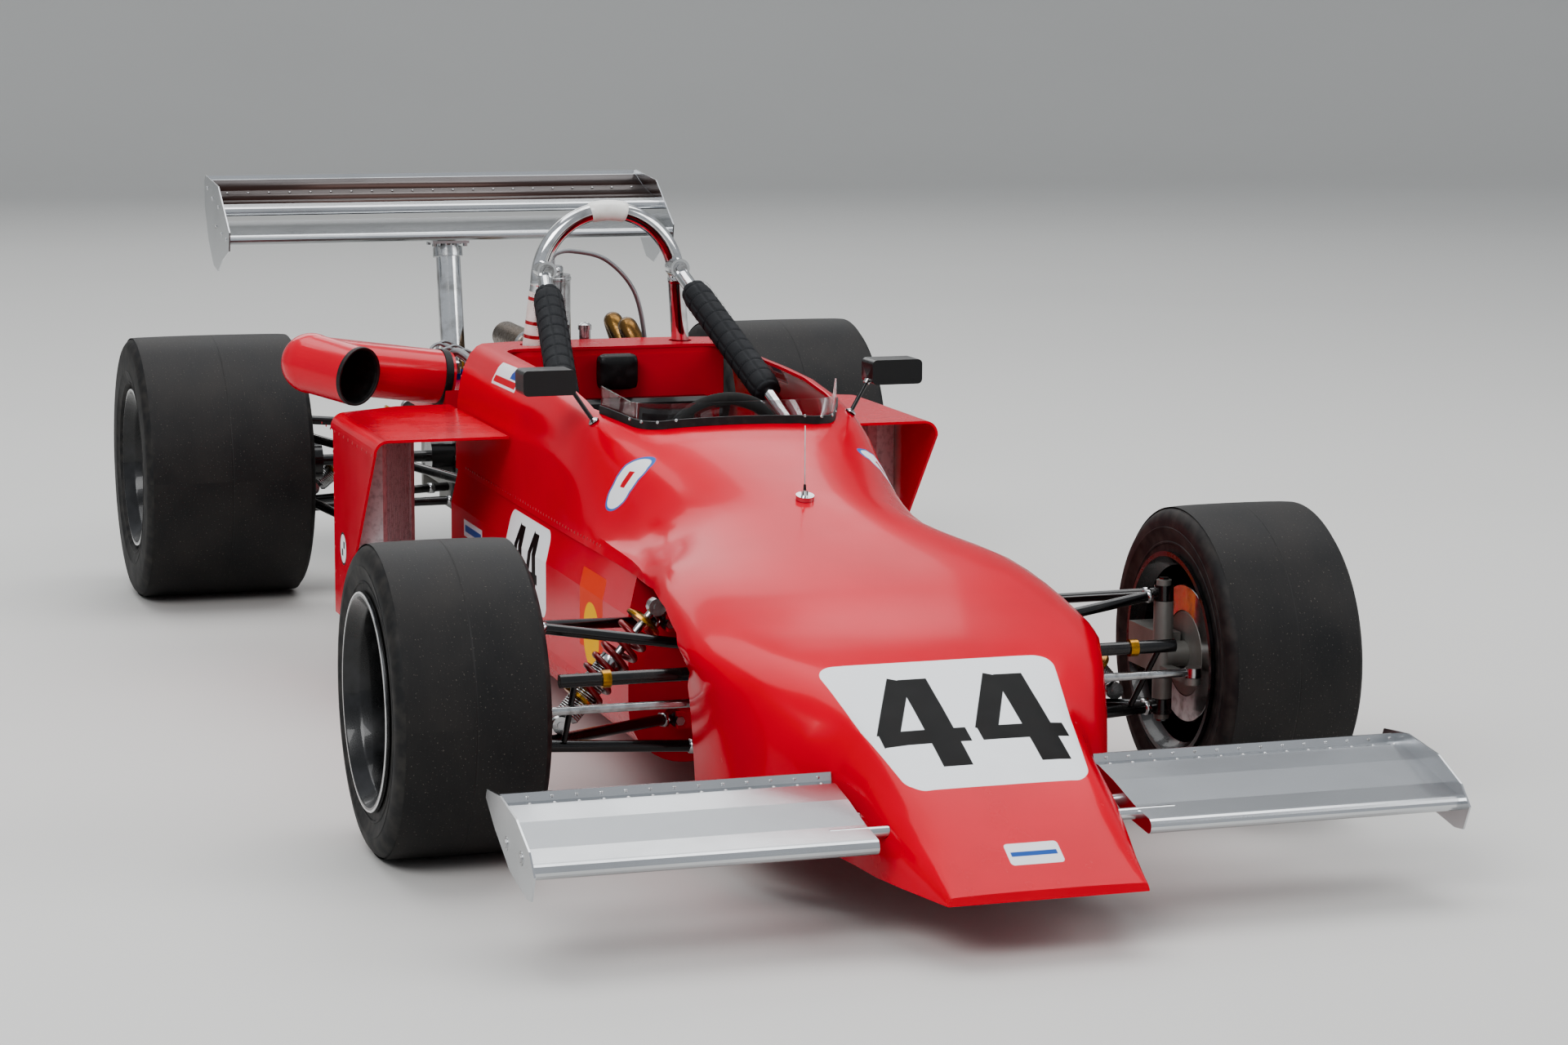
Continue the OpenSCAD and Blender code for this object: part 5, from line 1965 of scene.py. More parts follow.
@dataclass
class Cockpit:
    """Steering wheel, instruments, screen, mirrors and aerial."""

    shop: Workshop
    tilt: float = 17.5
    rim: float = 0.117
    grip: float = 0.0128

    def wheel_place(self) -> Matrix:
        """Frame of the steering wheel, Z towards the driver."""
        axis = Vector((0, math.cos(math.radians(self.tilt)), math.sin(math.radians(self.tilt))))
        return facing(front(0, 745, 517), axis)

    def steering_wheel(self) -> None:
        """Suede rim with its seam, three spokes with painted shade discs for their drilled holes, hub and
        bolts.
        """
        place, body = self.wheel_place(), "steering_wheel"
        rim = Solid(FINISHES["suede"])
        ring = [
            (self.rim + self.grip * math.cos(a), self.grip * math.sin(a))
            for a in (math.tau * k / 18 for k in range(18))
        ]
        rim.lathe(ring, place, 96, True)
        rim.piece("steering_rim", body, 60, ["steering_wheel"])
        parts = Solid(FINISHES["bright_steel"])
        for k in range(3):
            spoke = place @ Matrix.Rotation(math.tau * k / 3 + math.radians(90), 4, "Z")
            outline = [
                (0.026, -0.017), (0.06, -0.012), (0.11, -0.015), (0.11, 0.015), (0.06, 0.012), (0.026, 0.017),
            ]
            parts.plate(outline, 0.003, spoke @ moved((0, 0, -0.0015)))
        parts.lathe(
            [
                (0, -0.012), (0.03, -0.012), (0.032, -0.01), (0.032, 0.004), (0.028, 0.008), (0.012, 0.008),
                (0.0, 0.007),
            ],
            place, 40,
        )
        parts.use(FINISHES["black_tube"]).lathe(
            [(0, -0.884), (0.0098, -0.884), (0.0098, -0.012), (0, -0.012)], place, 28,
        )
        parts.piece("steering_spokes", body)
        out = place.to_3x3() @ Vector((0, 0, 1))
        centre = place.translation
        self.shop.fasten(
            "steering_bolts", body, circle_spots(
                centre + out * 0.008, out, 0.022, 6,
            ), 0.0032, 0.003, Head.HEX,
        )
        # The drilled holes are not cut through: flat black discs on the spokes stand for them, painted shade
        # where the dark cockpit would show through.
        self.shop.fasten("steering_hole_shade", body, [
            (
                centre + out * 0.0016 + (
                    place.to_3x3() @ Matrix.Rotation(math.tau * k / 3 + math.radians(90), 3, "Z")
                ) @ Vector((r, 0, 0)),
                out,
            )
            for k in range(3) for r in (0.05, 0.068, 0.086)
        ], 0.0055, 0.0004, Head.CUP, FINISHES["black_trim"])
        seam = [
            (p, (centre - p).normalized())
            for p, _ in circle_spots(centre, out, self.rim - self.grip, 120)
        ]
        self.shop.fasten("steering_stitches", body, seam, 0.0014, 0.0008, finish=FINISHES["thread"])

    def dial(self, x: float, z: float, radius: float, needle: float) -> None:
        """One instrument: bezel, black face, marks and needle.

        Args:
            x: Millimetres to the car's left.
            z: Millimetres above the ground.
            radius: Radius of the face in metres.
            needle: The needle's angle in radians.
        """
        out = Vector((0, 1, 0))
        place = facing(front(x, 560.2, z), out)
        face = Solid(FINISHES["black_trim"])
        face.lathe([(0, 0.0), (radius, 0.0), (radius, 0.003), (0, 0.003)], place, 40)
        face.use(FINISHES["bright_steel"]).lathe(
            [
                (radius * 0.9, 0.003), (radius * 0.94, 0.007), (radius * 1.04, 0.007), (radius * 1.08, 0.003),
                (radius * 1.08, 0.0), (radius, 0.0),
            ], place, 48, True
        )
        face.use(FINISHES["dial_ink"])
        hand = place @ Matrix.Rotation(needle, 4, "Z")
        face.block((radius * 0.72, 0.0016, 0.0006), hand @ moved((radius * 0.3, 0, 0.0045)), 0.0)
        face.use(FINISHES["black_trim"]).lathe(
            [(0, 0.003), (0.004, 0.003), (0.004, 0.0056), (0, 0.0056)], place, 16,
        )
        tag = f"{int(x)}_{int(z)}".replace("-", "m")
        face.piece(f"dial_{tag}", "chassis")
        centre = place.translation + out * 0.0031
        marks = [spot for k, spot in enumerate(circle_spots(centre, out, radius * 0.78, 32, 0.4)) if k < 26]
        self.shop.fasten(
            f"dial_marks_{tag}", "chassis", marks, radius * 0.035, 0.0003,
            finish=FINISHES["dial_ink"],
        )

    def dashboard(self) -> None:
        """Crackle plate with four dials, toggles and its screws."""
        dress(FINISHES["crackle"], "dashboard")
        for x, z, radius, needle in (
            (-78, 512, 0.034, 2.3), (78, 512, 0.034, 0.9), (-150, 505, 0.022, 1.8), (150, 505, 0.022, 1.2),
        ):
            self.dial(x, z, radius, needle)
        out = Vector((0, 1, 0))
        toggles = Solid(FINISHES["bright_steel"])
        for x in (-190, -165, 165, 190):
            base = front(x, 560, 450)
            toggles.tube(
                [base, base + out * 0.006, base + out * 0.0061, base + Vector((0, 0.02, 0.006))],
                [0.006, 0.006, 0.0022, 0.003], 12,
            )
        toggles.piece("dash_toggles", "chassis")
        screws = [
            (front(x, 560.2, z), out) for x in (-222, 222) for z in (360, 405)
        ] + [(front(x, 560.2, 545), out) for x in (-120, 0, 120)]
        self.shop.fasten("dash_screws", "chassis", screws, 0.004, 0.002, Head.CUP)

    def screen(self) -> None:
        """Clear screen on its black strip, with small screws along it."""
        clear = Solid(FINISHES["clear_screen"]).copy_of("windscreen", 0.00002)
        clear.piece("screen_clear", "chassis", 40, ["windscreen"], recalculate=False)
        strip = Solid(FINISHES["black_trim"]).copy_of("screen_trim", 0.00002)
        made = strip.piece("screen_strip", "chassis", 40, ["screen_trim"], recalculate=False)
        surface = Surface(made)
        centre = front(0, 745, 0)
        spots = []
        for k in range(19):
            a = math.radians(200 + 140 * k / 18)
            out = Vector((math.cos(a), math.sin(a), 0))
            for z in (0.61, 0.603, 0.617, 0.6, 0.625):
                found = surface.hit(centre + out * 0.6 + Vector((0, 0, z)), -out)
                if found and (found[0] - centre).xy.length > 0.15 and found[1].dot(out) > 0.3:
                    spots.append(found)
                    break
        if spots:
            self.shop.fasten("screen_screws", "chassis", spots, 0.0034, 0.0014, Head.CUP)

    def mirrors(self) -> None:
        """Composite mirror boxes with their glass, stems and knuckles."""
        shell = Solid(FINISHES["black_composite"]).copy_of("mirrors", 0.00002)
        shell.piece("mirror_shells", "chassis", 40, ["mirrors"], recalculate=False)
        for side in Side:
            s = side.value
            glass = Solid(FINISHES["mirror"])
            outline = [
                (cx + 0.006 * math.cos(a), cz + 0.006 * math.sin(a))
                for cx, cz, first in (
                    (0.038, 0.012, 0), (-0.038, 0.012, 90), (-0.038, -0.012, 180), (0.038, -0.012, 270),
                )
                for a in (math.radians(first + d) for d in (0, 30, 60, 90))
            ]
            glass.plate(outline, 0.0012, facing(front(s * 333, 781, 667), Vector((0, 1, 0))))
            glass.piece(f"mirror_glass_{side.word}", "chassis")
            stem = Solid(FINISHES["bright_steel"])
            a, b = front(s * 288, 750, 655), front(s * 248, 737.4, 594)
            stem.lathe(
                [
                    (0, -0.006), (0.0062, -0.004), (0.0062, 0.004), (0, 0.006),
                ], facing(a.lerp(b, 0.12), b - a), 20,
            )
            stem.lathe(
                [
                    (0, -0.003), (0.0105, -0.003), (0.0105, -0.0005), (0.005, 0.004), (0, 0.004),
                ], facing(b, a - b), 24,
            )
            stem.piece(f"mirror_knuckles_{side.word}", "chassis")

    def aerial(self) -> None:
        """Chrome foot and thin whip of the aerial."""
        dress(FINISHES["chrome"], "aerial")
        base = front(0, 259, 508)
        cap = Solid(FINISHES["black_trim"])
        cap.lathe([(0.0, 0.016), (0.0028, 0.016), (0.002, 0.026), (0.0, 0.027)], moved(base), 16)
        cap.piece("aerial_boot", "chassis")

    def build(self) -> None:
        """Builds every piece."""
        self.steering_wheel()
        self.dashboard()
        self.screen()
        self.mirrors()
        self.aerial()
        dress(FINISHES["black_composite"], "seat")


# ---------------------------------------------------------------- wings


@dataclass
class Wings:
    """Rivets on the gurney strips, end plate bolts and the coloured flap sheet."""

    shop: Workshop
    front_half: float = 733.0
    rear_half: float = 545.0

    def front_wings(self) -> None:
        """Rivets on both gurney strips, and the spar bolts on the end plates."""
        up = Vector((0, -0.35, 0.94)).normalized()
        ahead = Vector((0, -0.97, 0.22)).normalized()
        spots = []
        for side in Side:
            for k in range(14):
                x = side.value * (235 + 37.5 * k)
                spots += [(front(x, -520.6, 207), ahead), (front(x, -537, 201.2), up)]
        self.shop.fasten("front_wing_rivets", "chassis", spots, 0.0028, 0.0013)
        ends = Solid(FINISHES["bright_steel"])
        bolts = []
        for side in Side:
            out = Vector((side.value, 0, 0))
            for y, z in ((-690, 160), (-600, 160)):
                place = front(side.value * (self.front_half + 3), y, z)
                ends.lathe(
                    [(0, 0), (0.011, 0), (0.011, 0.0014), (0, 0.0014)], facing(place - out * 0.0008, out), 28,
                )
                bolts.append((place + out * 0.0004, out))
        ends.piece("front_wing_washers", "chassis")
        self.shop.fasten("front_wing_bolts", "chassis", bolts, 0.0065, 0.0022, Head.HEX)

    def rear_wing(self) -> None:
        """The dark sheet on the flap with its rivet row, and the end plate screws."""
        half = self.rear_half / 1000 - 0.001
        line = [(600, 837.6), (640, 842.4), (720, 860.4), (786, 883.2)]
        sheet = Solid(FINISHES["flap_film"])
        for (y0, z0), (y1, z1) in zip(line, line[1:]):
            a, b = rear(0, y0, z0), rear(0, y1, z1)
            normal = Vector((0, -(b - a).z, (b - a).y)).normalized() * 0.0008
            corners = [
                Vector((x, p.y, p.z)) + lift for lift in (Vector(), normal) for p in (a, b)
                for x in (-half, half)
            ]
            verts = [sheet.mesh.verts.new(c) for c in corners]
            for f in ((0, 1, 3, 2), (4, 6, 7, 5), (0, 4, 5, 1), (2, 3, 7, 6), (0, 2, 6, 4), (1, 5, 7, 3)):
                sheet.face([verts[i] for i in f])
        sheet.piece("rear_flap_sheet", "chassis", 30)
        up = Vector((0, -0.29, 0.95)).normalized()
        spots = [(rear(x, 700, 857.4), up) for x in range(-510, 511, 51)]
        self.shop.fasten("rear_flap_rivets", "chassis", spots, 0.003, 0.0016)
        screws = []
        for side in Side:
            out = Vector((side.value, 0, 0))
            x = side.value * (self.rear_half + 3)
            screws += [
                (rear(x, y, z), out)
                for y, z in ((490, 760), (560, 768), (640, 780), (600, 830), (690, 845), (760, 866))
            ]
        self.shop.fasten("rear_plate_screws", "chassis", screws, 0.005, 0.0024, Head.CUP)
        clamp = Solid(FINISHES["bright_steel"])
        clamp.lathe(
            [(0.0302, -0.012), (0.036, -0.012), (0.036, 0.012), (0.0302, 0.012)],
            facing(rear(0, 540, 716), rear(0, 545, 742) - rear(0, 474, 402)), 48, True,
        )
        clamp.piece("wing_post_collar", "chassis")
        self.shop.fasten(
            "wing_post_bolts", "chassis",
            [
                (rear(x, y, 737), Vector((0, 0, -1))) for x in (-38, 38) for y in (515, 578)
            ], 0.006, 0.005, Head.HEX,
        )

    def build(self) -> None:
        """Dresses the wings and builds their fittings."""
        dress(FINISHES["wing_aluminium"], "front_wing_left", "front_wing_right", "rear_wing")
        dress(FINISHES["chrome"], "wing_post")
        self.front_wings()
        self.rear_wing()


# ---------------------------------------------------------------- suspension


@dataclass
class Suspension:
    """Coil springs on their dampers, rod ends, joint bolts, and the brake calipers' bolts and bleed nipples.
    """

    shop: Workshop
    wire: float = 0.0052

    def damper(self, name: str, low: Vector, high: Vector, radius: float, node: str) -> None:
        """One spring and damper unit between its eyes.

        Args:
            name: The unit's name.
            low: Middle of the lower eye.
            high: Middle of the upper eye.
            radius: Outside radius of the spring.
            node: CAD node that the unit belongs to.
        """
        axis = high - low
        length = axis.length
        place = facing(low, axis)
        unit = Solid(FINISHES["bright_steel"])
        body = [(0, 0.012), (0.016, 0.014), (0.0205, 0.02)]
        z = 0.02
        while z < 0.5 * length:
            body += [(0.0205, z), (0.0212, z + 0.0012), (0.0205, z + 0.0024)]
            z += 0.004
        body += [(0.0205, 0.55 * length), (0.018, 0.552 * length), (0.0, 0.552 * length)]
        unit.lathe(body, place, 32)
        unit.lathe(
            [
                (0, 0.5 * length), (0.0068, 0.5 * length), (0.0068, length - 0.012), (0, length - 0.012),
            ], place, 20,
        )
        unit.use(FINISHES["gold_alloy"])
        for at in (0.2 * length, 0.88 * length):
            seat = [
                (0.0208, at), (radius * 0.96, at), (radius, at + 0.002), (radius, at + 0.007),
                (0.0208, at + 0.009),
            ]
            if at > 0.5 * length:
                seat = [
                    (0.007, at + 0.006), (0.018, at + 0.006), (radius * 0.96, at), (radius, at - 0.002),
                    (radius, at - 0.006), (0.007, at - 0.006),
                ]
            unit.lathe(seat, place, 36, True)
        unit.use(FINISHES["bright_steel"])
        for eye in (low, high):
            turned = facing(eye, Vector((0, 1, 0)))
            unit.lathe(
                [
                    (0.006, -0.011), (0.0145, -0.011), (0.015, -0.009), (0.015, 0.009), (0.0145, 0.011),
                    (0.006, 0.011),
                ],
                turned, 28, True,
            )
            unit.lathe([(0, -0.0125), (0.0065, -0.0125), (0.0065, 0.0125), (0, 0.0125)], turned, 20)
        unit.piece(f"damper_{name}", "chassis", 32)
        turns = 6.5 if node == "front_coilovers" else 5.5
        start = place @ Vector((0, 0, 0.2 * length + 0.012))
        end = place @ Vector((0, 0, 0.88 * length - 0.011))
        self.shop.spring(f"spring_{name}", "chassis", start, end, radius - self.wire, self.wire, turns)

    def dampers(self) -> None:
        """All four units, and the brackets that the CAD nodes held."""
        brackets = Solid(FINISHES["black_tube"])
        for side in Side:
            s = side.value
            self.damper(
                f"front_{side.word}", front(s * 490, 48, 187), front(s * 322, 62, 372), 0.033,
                "front_coilovers",
            )
            self.damper(
                f"rear_{side.word}", rear(s * 430, 60, 219.5), rear(s * 205, 60, 400), 0.036,
                "rear_coilovers",
            )
            brackets.tube([front(s * 181, 62, 372), front(s * 306, 62, 372)], 0.009, 20)
            brackets.block((0.028, 0.042, 0.032), moved(front(s * 185, 62, 367)), 0.002)
        made = brackets.piece("damper_brackets", "chassis", 35, ["front_coilovers", "rear_coilovers"])

    def joints(self) -> None:
        """Rod end sleeves and pivot bolts on the links, roll bar collars and track rod locknuts."""
        dress(FINISHES["black_tube"], "front_wishbones", "anti_roll_bar", "rear_links")
        dress(FINISHES["bright_steel"], "steering_rack", "rack_housing")
        dress(FINISHES["cast_alloy"], "front_upright_left", "front_upright_right", "rear_uprights")
        dress(FINISHES["black_tube"], "driveshaft_left", "driveshaft_right")
        bolts, sleeves = [], Solid(FINISHES["bright_steel"])
        for side in Side:
            s = side.value
            for x, y, z in ((262, -25, 318), (262, 215, 318), (255, -25, 152), (245, 215, 150)):
                for d in (-1, 1):
                    bolts.append((front(s * x, y + d * 29.3, z), Vector((0, d, 0))))
            for outer, inner, r in (
                ((560, 0, 362), (262, -25, 318), 0.0102), ((560, 0, 362), (262, 215, 318), 0.0102),
                ((560, 0, 165), (255, -25, 152), 0.0112), ((560, 0, 165), (245, 215, 150), 0.0112),
            ):
                a, b = front(s * outer[0], *outer[1:]), front(s * inner[0], *inner[1:])
                six = hexagon(r * 1.2)
                step = (b - a).normalized()
                sleeves.plate(six, 0.011, facing(b - step * 0.036, step))
                sleeves.plate(six, 0.011, facing(a + step * 0.024, step))
            for face_x, gear_x, y0, y1, z0, z1 in (
                (
                    505.5, 96.5, -15, -50, 392, 362,
                ), (504, 97.6, 45, 130, 192, 200), (505, 96.6, -45, -85, 192, 200),
            ):
                a, b = rear(s * face_x, y0, z0), rear(s * gear_x, y1, z1)
                step = (b - a).normalized()
                six = hexagon(0.0135)
                sleeves.plate(six, 0.014, facing(a + step * 0.03, step))
                sleeves.plate(six, 0.014, facing(b - step * 0.05, step))
        sleeves.piece("rod_end_sleeves", "chassis", 30)
        self.shop.fasten("pivot_bolts", "chassis", bolts, 0.0085, 0.006, Head.HEX)
        collars = Solid(FINISHES["gold_alloy"])
        for side in Side:
            for x in (455, 214):
                collars.lathe(
                    [(0.0112, -0.007), (0.0145, -0.007), (0.0145, 0.007), (0.0112, 0.007)],
                    facing(front(side.value * x, -112, 292), Vector((1, 0, 0))), 30, True,
                )
        collars.piece("roll_bar_collars", "chassis")
        lock = Solid(FINISHES["blue_alloy"])
        for side in Side:
            lock.plate(
                hexagon(0.0112), 0.009, facing(front(side.value * 308, -125, 247), Vector((side.value, 0, 0)))
            )
        lock.piece("track_rod_locknuts", "steering_rack")

    def calipers(self) -> None:
        """Bolts of each front caliper, its short bleed nipple, and the nuts on the ball joints."""
        for side in Side:
            s, body = side.value, f"{side.word}_upright"
            out = Vector((s, 0, 0))
            spots = [(front(s * 627, y, z), out) for y in (66, 112) for z in (232, 276)]
            self.shop.fasten(f"caliper_bolts_{side.word}", body, spots, 0.006, 0.004, Head.HEX)
            nipple = Solid(FINISHES["copper"])
            base = front(s * 612, 100, 290.2)
            nipple.tube(
                [
                    base, base + Vector((0, 0, 0.006)), base + Vector((0, 0, 0.0061)),
                    base + Vector((0, 0, 0.016)),
                ],
                [0.005, 0.005, 0.003, 0.0022], 12,
            )
            nipple.piece(f"bleed_nipple_{side.word}", body)
            caps = [(front(s * 560, 0, z), Vector((0, 0, d))) for z, d in ((384, 1), (143, -1))]
            self.shop.fasten(f"joint_nuts_{side.word}", body, caps, 0.009, 0.004, Head.HEX)

    def build(self) -> None:
        """Builds every piece."""
        self.dampers()
        self.joints()
        self.calipers()


# ---------------------------------------------------------------- engine bay


@dataclass
class EngineBay:
    """Engine, gearbox, exhaust, air horn, tanks, radiators and the hoses between them."""

    shop: Workshop
    head_y: tuple[float, float] = (-787.0, -360.0)

    def engine(self) -> None:
        """Cam covers with their bolts and ribs, plug leads and the belt end."""
        dress(FINISHES["cast_alloy"], "engine", "gearbox")
        up = Vector((0, 0, 1))
        y0, y1 = self.head_y
        covers = Solid(FINISHES["crackle"])
        spots = []
        for x in (-72, 72):
            arch = [
                (x / 1000 + 0.0455 * math.cos(a), 0.525 + 0.0455 * math.sin(a))
                for a in (math.radians(d) for d in range(0, 181, 12))
            ] + [(x / 1000 - 0.0455, 0.5255), (x / 1000 + 0.0455, 0.5255)]
            place = standing(rear(0, y0 + 6, 0))
            covers.plate(arch, (y1 - y0 - 12) / 1000, place)
            spots += [(rear(x + d * 53, y0 + 20 + k * 48, 525.4), up) for k in range(9) for d in (-1, 1)]
        covers.piece("cam_covers", "chassis", 20)
        self.shop.fasten("cam_cover_bolts", "chassis", spots, 0.0045, 0.004, Head.HEX)
        place = moved(rear(0, y0 + 30, 530))
        self.shop.plates(
            "head_ribs", "chassis", place, 9, (0, 0.048, 0), (0.036, 0.004, 0.008), FINISHES["cast_alloy"],
        )
        for side in Side:
            out = Vector((side.value, 0, 0))
            ribs = moved(rear(side.value * 121, y0 + 60, 325))
            self.shop.plates(
                f"block_ribs_{side.word}", "chassis", ribs, 8, (0, 0.052, 0), (0.007, 0.008, 0.19),
                FINISHES["cast_alloy"],
            )
            rails = moved(rear(side.value * 121.5, (y0 + y1) / 2, 215))
            self.shop.plates(
                f"block_rails_{side.word}", "chassis", rails, 2, (0, 0, 0.218), (0.01, 0.4, 0.012),
                FINISHES["cast_alloy"],
            )
            seats = [(rear(side.value * 150, y0 + 14 + 50 * k, 186), out) for k in range(9)]
            seats += [(rear(side.value * 126.5, y0 + 34 + 52 * k, 433), out) for k in range(8)]
            self.shop.fasten(f"block_bolts_{side.word}", "chassis", seats, 0.006, 0.005, Head.HEX)
            plugs = Solid(FINISHES["bright_steel"])
            for k in range(3):
                plugs.lathe(
                    [(0.0, -0.001), (0.012, -0.001), (0.0145, 0.0015), (0.017, 0.0015), (0.0175, -0.001)],
                    facing(rear(side.value * 120, y0 + 86 + 104 * k, 270), out), 32,
                )
            plugs.piece(f"core_plugs_{side.word}", "chassis", recalculate=False)
        filters = Solid(FINISHES["black_trim"])
        filters.lathe(
            [(0, 0), (0.036, 0), (0.038, 0.004), (0.038, 0.078), (0.034, 0.086), (0.02, 0.09), (0, 0.09)],
            facing(rear(-121, -430, 268), Vector((-1, 0, 0))), 40,
        )
        filters.piece("oil_filter", "chassis")
        leads = Solid(FINISHES["blue_alloy"])
        for k in range(4):
            base = rear(0, y0 + 60 + 100 * k, 530)
            path = smooth_path(
                [
                    base, base + Vector((0, 0, 0.04)), base + Vector((0.03, 0.03, 0.062)),
                    rear(60, y1 - 60 + 9 * k, 592), rear(66, y1 + 20 + 4 * k, 560 - 5 * k),
                ],
                8,
            )
            leads.tube(path, 0.0038, 10)
        leads.piece("plug_leads", "chassis", 60)
        boots = Solid(FINISHES["black_rubber"])
        for k in range(4):
            base = rear(0, y0 + 60 + 100 * k, 524)
            boots.lathe(
                [(0, 0), (0.009, 0), (0.0085, 0.02), (0.005, 0.028), (0, 0.028)], moved(base), 18,
            )
        boots.lathe(
            [(0, 0), (0.034, 0), (0.034, 0.03), (0.03, 0.036), (0, 0.036)],
            facing(rear(66, y1 + 24, 548), Vector((0, -1, 0.2))), 32,
        )
        boots.piece("plug_boots", "chassis")
        cap = Solid(FINISHES["gold_alloy"])
        cap.lathe(
            [(0, 0), (0.02, 0), (0.02, 0.006), (0.024, 0.008), (0.024, 0.018), (0.02, 0.021), (0, 0.021)],
            moved(rear(-72, -470, 569)), 32,
        )
        cap.piece("oil_filler_cap", "chassis")

    def gearbox(self) -> None:
        """Bell housing bolts, side cover bolts and ribs."""
        back = Vector((0, 1, 0))
        self.shop.fasten(
            "bell_bolts", "chassis", [
                (p, back) for p, _ in circle_spots(rear(0, -290, 240), back, 0.1625, 22)
            ],
            0.0055, 0.0045, Head.HEX,
        )
        spots = []
        for side in Side:
            out = Vector((side.value, 0, 0))
            spots += circle_spots(rear(side.value * 115, 0, 292), out, 0.051, 8)
            spots += [(rear(side.value * 75, y, z), out) for y in (260, 340, 420, 490) for z in (200, 390)]
            place = moved(rear(side.value * 95.5, -70, 264))
            self.shop.plates(
                f"gearbox_ribs_{side.word}", "chassis", place, 4, (0, 0.024, 0), (0.006, 0.005, 0.2),
                FINISHES["cast_alloy"],
            )
        self.shop.fasten("gearbox_bolts", "chassis", spots, 0.0055, 0.0045, Head.HEX)

    def exhaust(self) -> None:
        """Four swept primaries into a collector and its tail pipe, with flanges and clamps."""
        pipes = Solid(FINISHES["exhaust_steel"])
        flanges = Solid(FINISHES["cast_alloy"])
        bolts = []
        for i in range(4):
            y = -740 + 118 * i
            # The two middle primaries loop up before they join the others.
            high = 165 if i in (1, 2) else 0
            path = smooth_path([
                rear(137, y, 485), rear(165, y, 487),
                rear(
                    188 - 0.1 * high, y + 30, 480 + 0.55 * high,
                ), rear(178 - 0.15 * high, y + 75, 472 + high),
                rear(196, y + 130, 455 + 0.5 * high), rear(203, y * 0.75 - 20 + 30 * (i > 0), 425),
                rear(192, -300 + 8 * i, 392), rear(190, -238, 390),
            ], 8)
            pipes.tube(path, 0.0205, 20)
            flanges.block((0.008, 0.07, 0.052), moved(rear(140, y, 485)), 0.003)
            bolts += [(rear(144, y + d, 485), Vector((1, 0, 0))) for d in (-29, 29)]
        tail = smooth_path(
            [
                rear(190, -268, 390), rear(187, -190, 402), rear(184, -118, 422), rear(166, -25, 466),
                rear(150, 60, 498), rear(150, 300, 503), rear(150, 559, 505),
            ],
            10,
        )
        pipes.tube(tail, [0.0352] * (len(tail) - 1) + [0.0356], 30)
        pipes.piece("exhaust_pipes", "chassis", 50, ["exhaust"])
        flanges.use(FINISHES["black_trim"]).lathe(
            [(0, 0.0), (0.0325, 0.0), (0.0325, 0.0006), (0, 0.0006)],
            facing(rear(150, 559.2, 505), Vector((0, 1, 0.005))), 30,
        )
        for y, z, x in ((-250, 390, 190), (70, 499, 150), (320, 503, 150)):
            flanges.use(FINISHES["bright_steel"]).lathe(
                [(0.0355, -0.007), (0.0385, -0.006), (0.0385, 0.006), (0.0355, 0.007)],
                facing(rear(x, y, z), Vector((0, 1, 0))), 36, True,
            )
        flanges.piece("exhaust_flanges", "chassis")
        self.shop.fasten("exhaust_bolts", "chassis", bolts, 0.0055, 0.004, Head.HEX)

    def intake(self) -> None:
        """Red air horn with its lined mouth and the throttle stubs."""
        shell = Solid(FINISHES["intake_red"]).copy_of("air_intake", 0.00002)
        shell.piece("air_horn", "chassis", 32, ["air_intake"], recalculate=False)
        mouth, elbow = rear(-500, -860, 582), rear(-577, -755, 600)
        axis = mouth - elbow
        lining = Solid(FINISHES["black_rubber"])
        place = facing(mouth, axis)
        lining.lathe(
            [
                (0.0558, 0.0008), (0.0575, 0.0032), (0.0605, 0.003), (0.0616, -0.004), (0.0609, -0.006),
            ], place, 72,
        )
        ribs = [(0.0552 - 0.0016 * (k % 2), -0.004 - 0.0035 * k) for k in range(26)]
        lining.lathe([(0.0558, 0.0008)] + ribs, place, 72)
        drum, away = rear(-285, -712, 556), rear(-577, -755, 600) - rear(-285, -712, 556)
        lining.lathe(
            [
                (0.0572, 0.006), (0.0592, 0.007), (0.0592, 0.022), (0.0572, 0.023),
            ], facing(drum, away), 72, True,
        )
        lining.piece("horn_lining", "chassis", 60, recalculate=False)
        clips = Solid(FINISHES["bright_steel"])
        for i in range(4):
            for x in (-150, -198):
                clips.lathe(
                    [(0.0192, -0.005), (0.0215, -0.005), (0.0215, 0.005), (0.0192, 0.005)],
                    facing(rear(x, -740 + 118 * i, 495), Vector((1, 0, 0))), 28, True,
                )
        loops = Solid(FINISHES["braid"])
        rail = Solid(FINISHES["blue_alloy"])
        fittings = Solid(FINISHES["gold_alloy"])
        for i in range(4):
            base = rear(-172, -740 + 118 * i, 512)
            rail.lathe([(0, 0), (0.009, 0), (0.009, 0.02), (0.0065, 0.024), (0, 0.024)], moved(base), 6)
            fittings.lathe(
                [(0, 0.024), (0.006, 0.024), (0.006, 0.044), (0.004, 0.048), (0, 0.048)], moved(base), 16
            )
        fittings.tube([rear(-172, -750, 556), rear(-172, -375, 556)], 0.0062, 16)
        for k in range(7):
            base = rear(-232 - 24 * (k % 2), -670 + 46 * k, 535)
            rail.lathe([(0, 0), (0.0085, 0), (0.0085, 0.014), (0, 0.014)], moved(base), 6)
            clips.lathe(
                [
                    (0, 0.014), (0.0062, 0.014), (0.0062, 0.03), (0.0078, 0.031), (0.0078, 0.037),
                    (0.004, 0.041),
                    (0, 0.041),
                ],
                moved(base), 18,
            )
            top = base + Vector((0, 0, 0.038))
            loops.tube(
                smooth_path(
                    [
                        top, top + Vector((0, 0.004, 0.016)), top + Vector((0.02, 0.012, 0.024)),
                        top + Vector((0.05, 0.02, 0.006)), rear(-176, -655 + 46 * k, 556),
                    ],
                    6,
                ),
                0.0036, 10,
            )
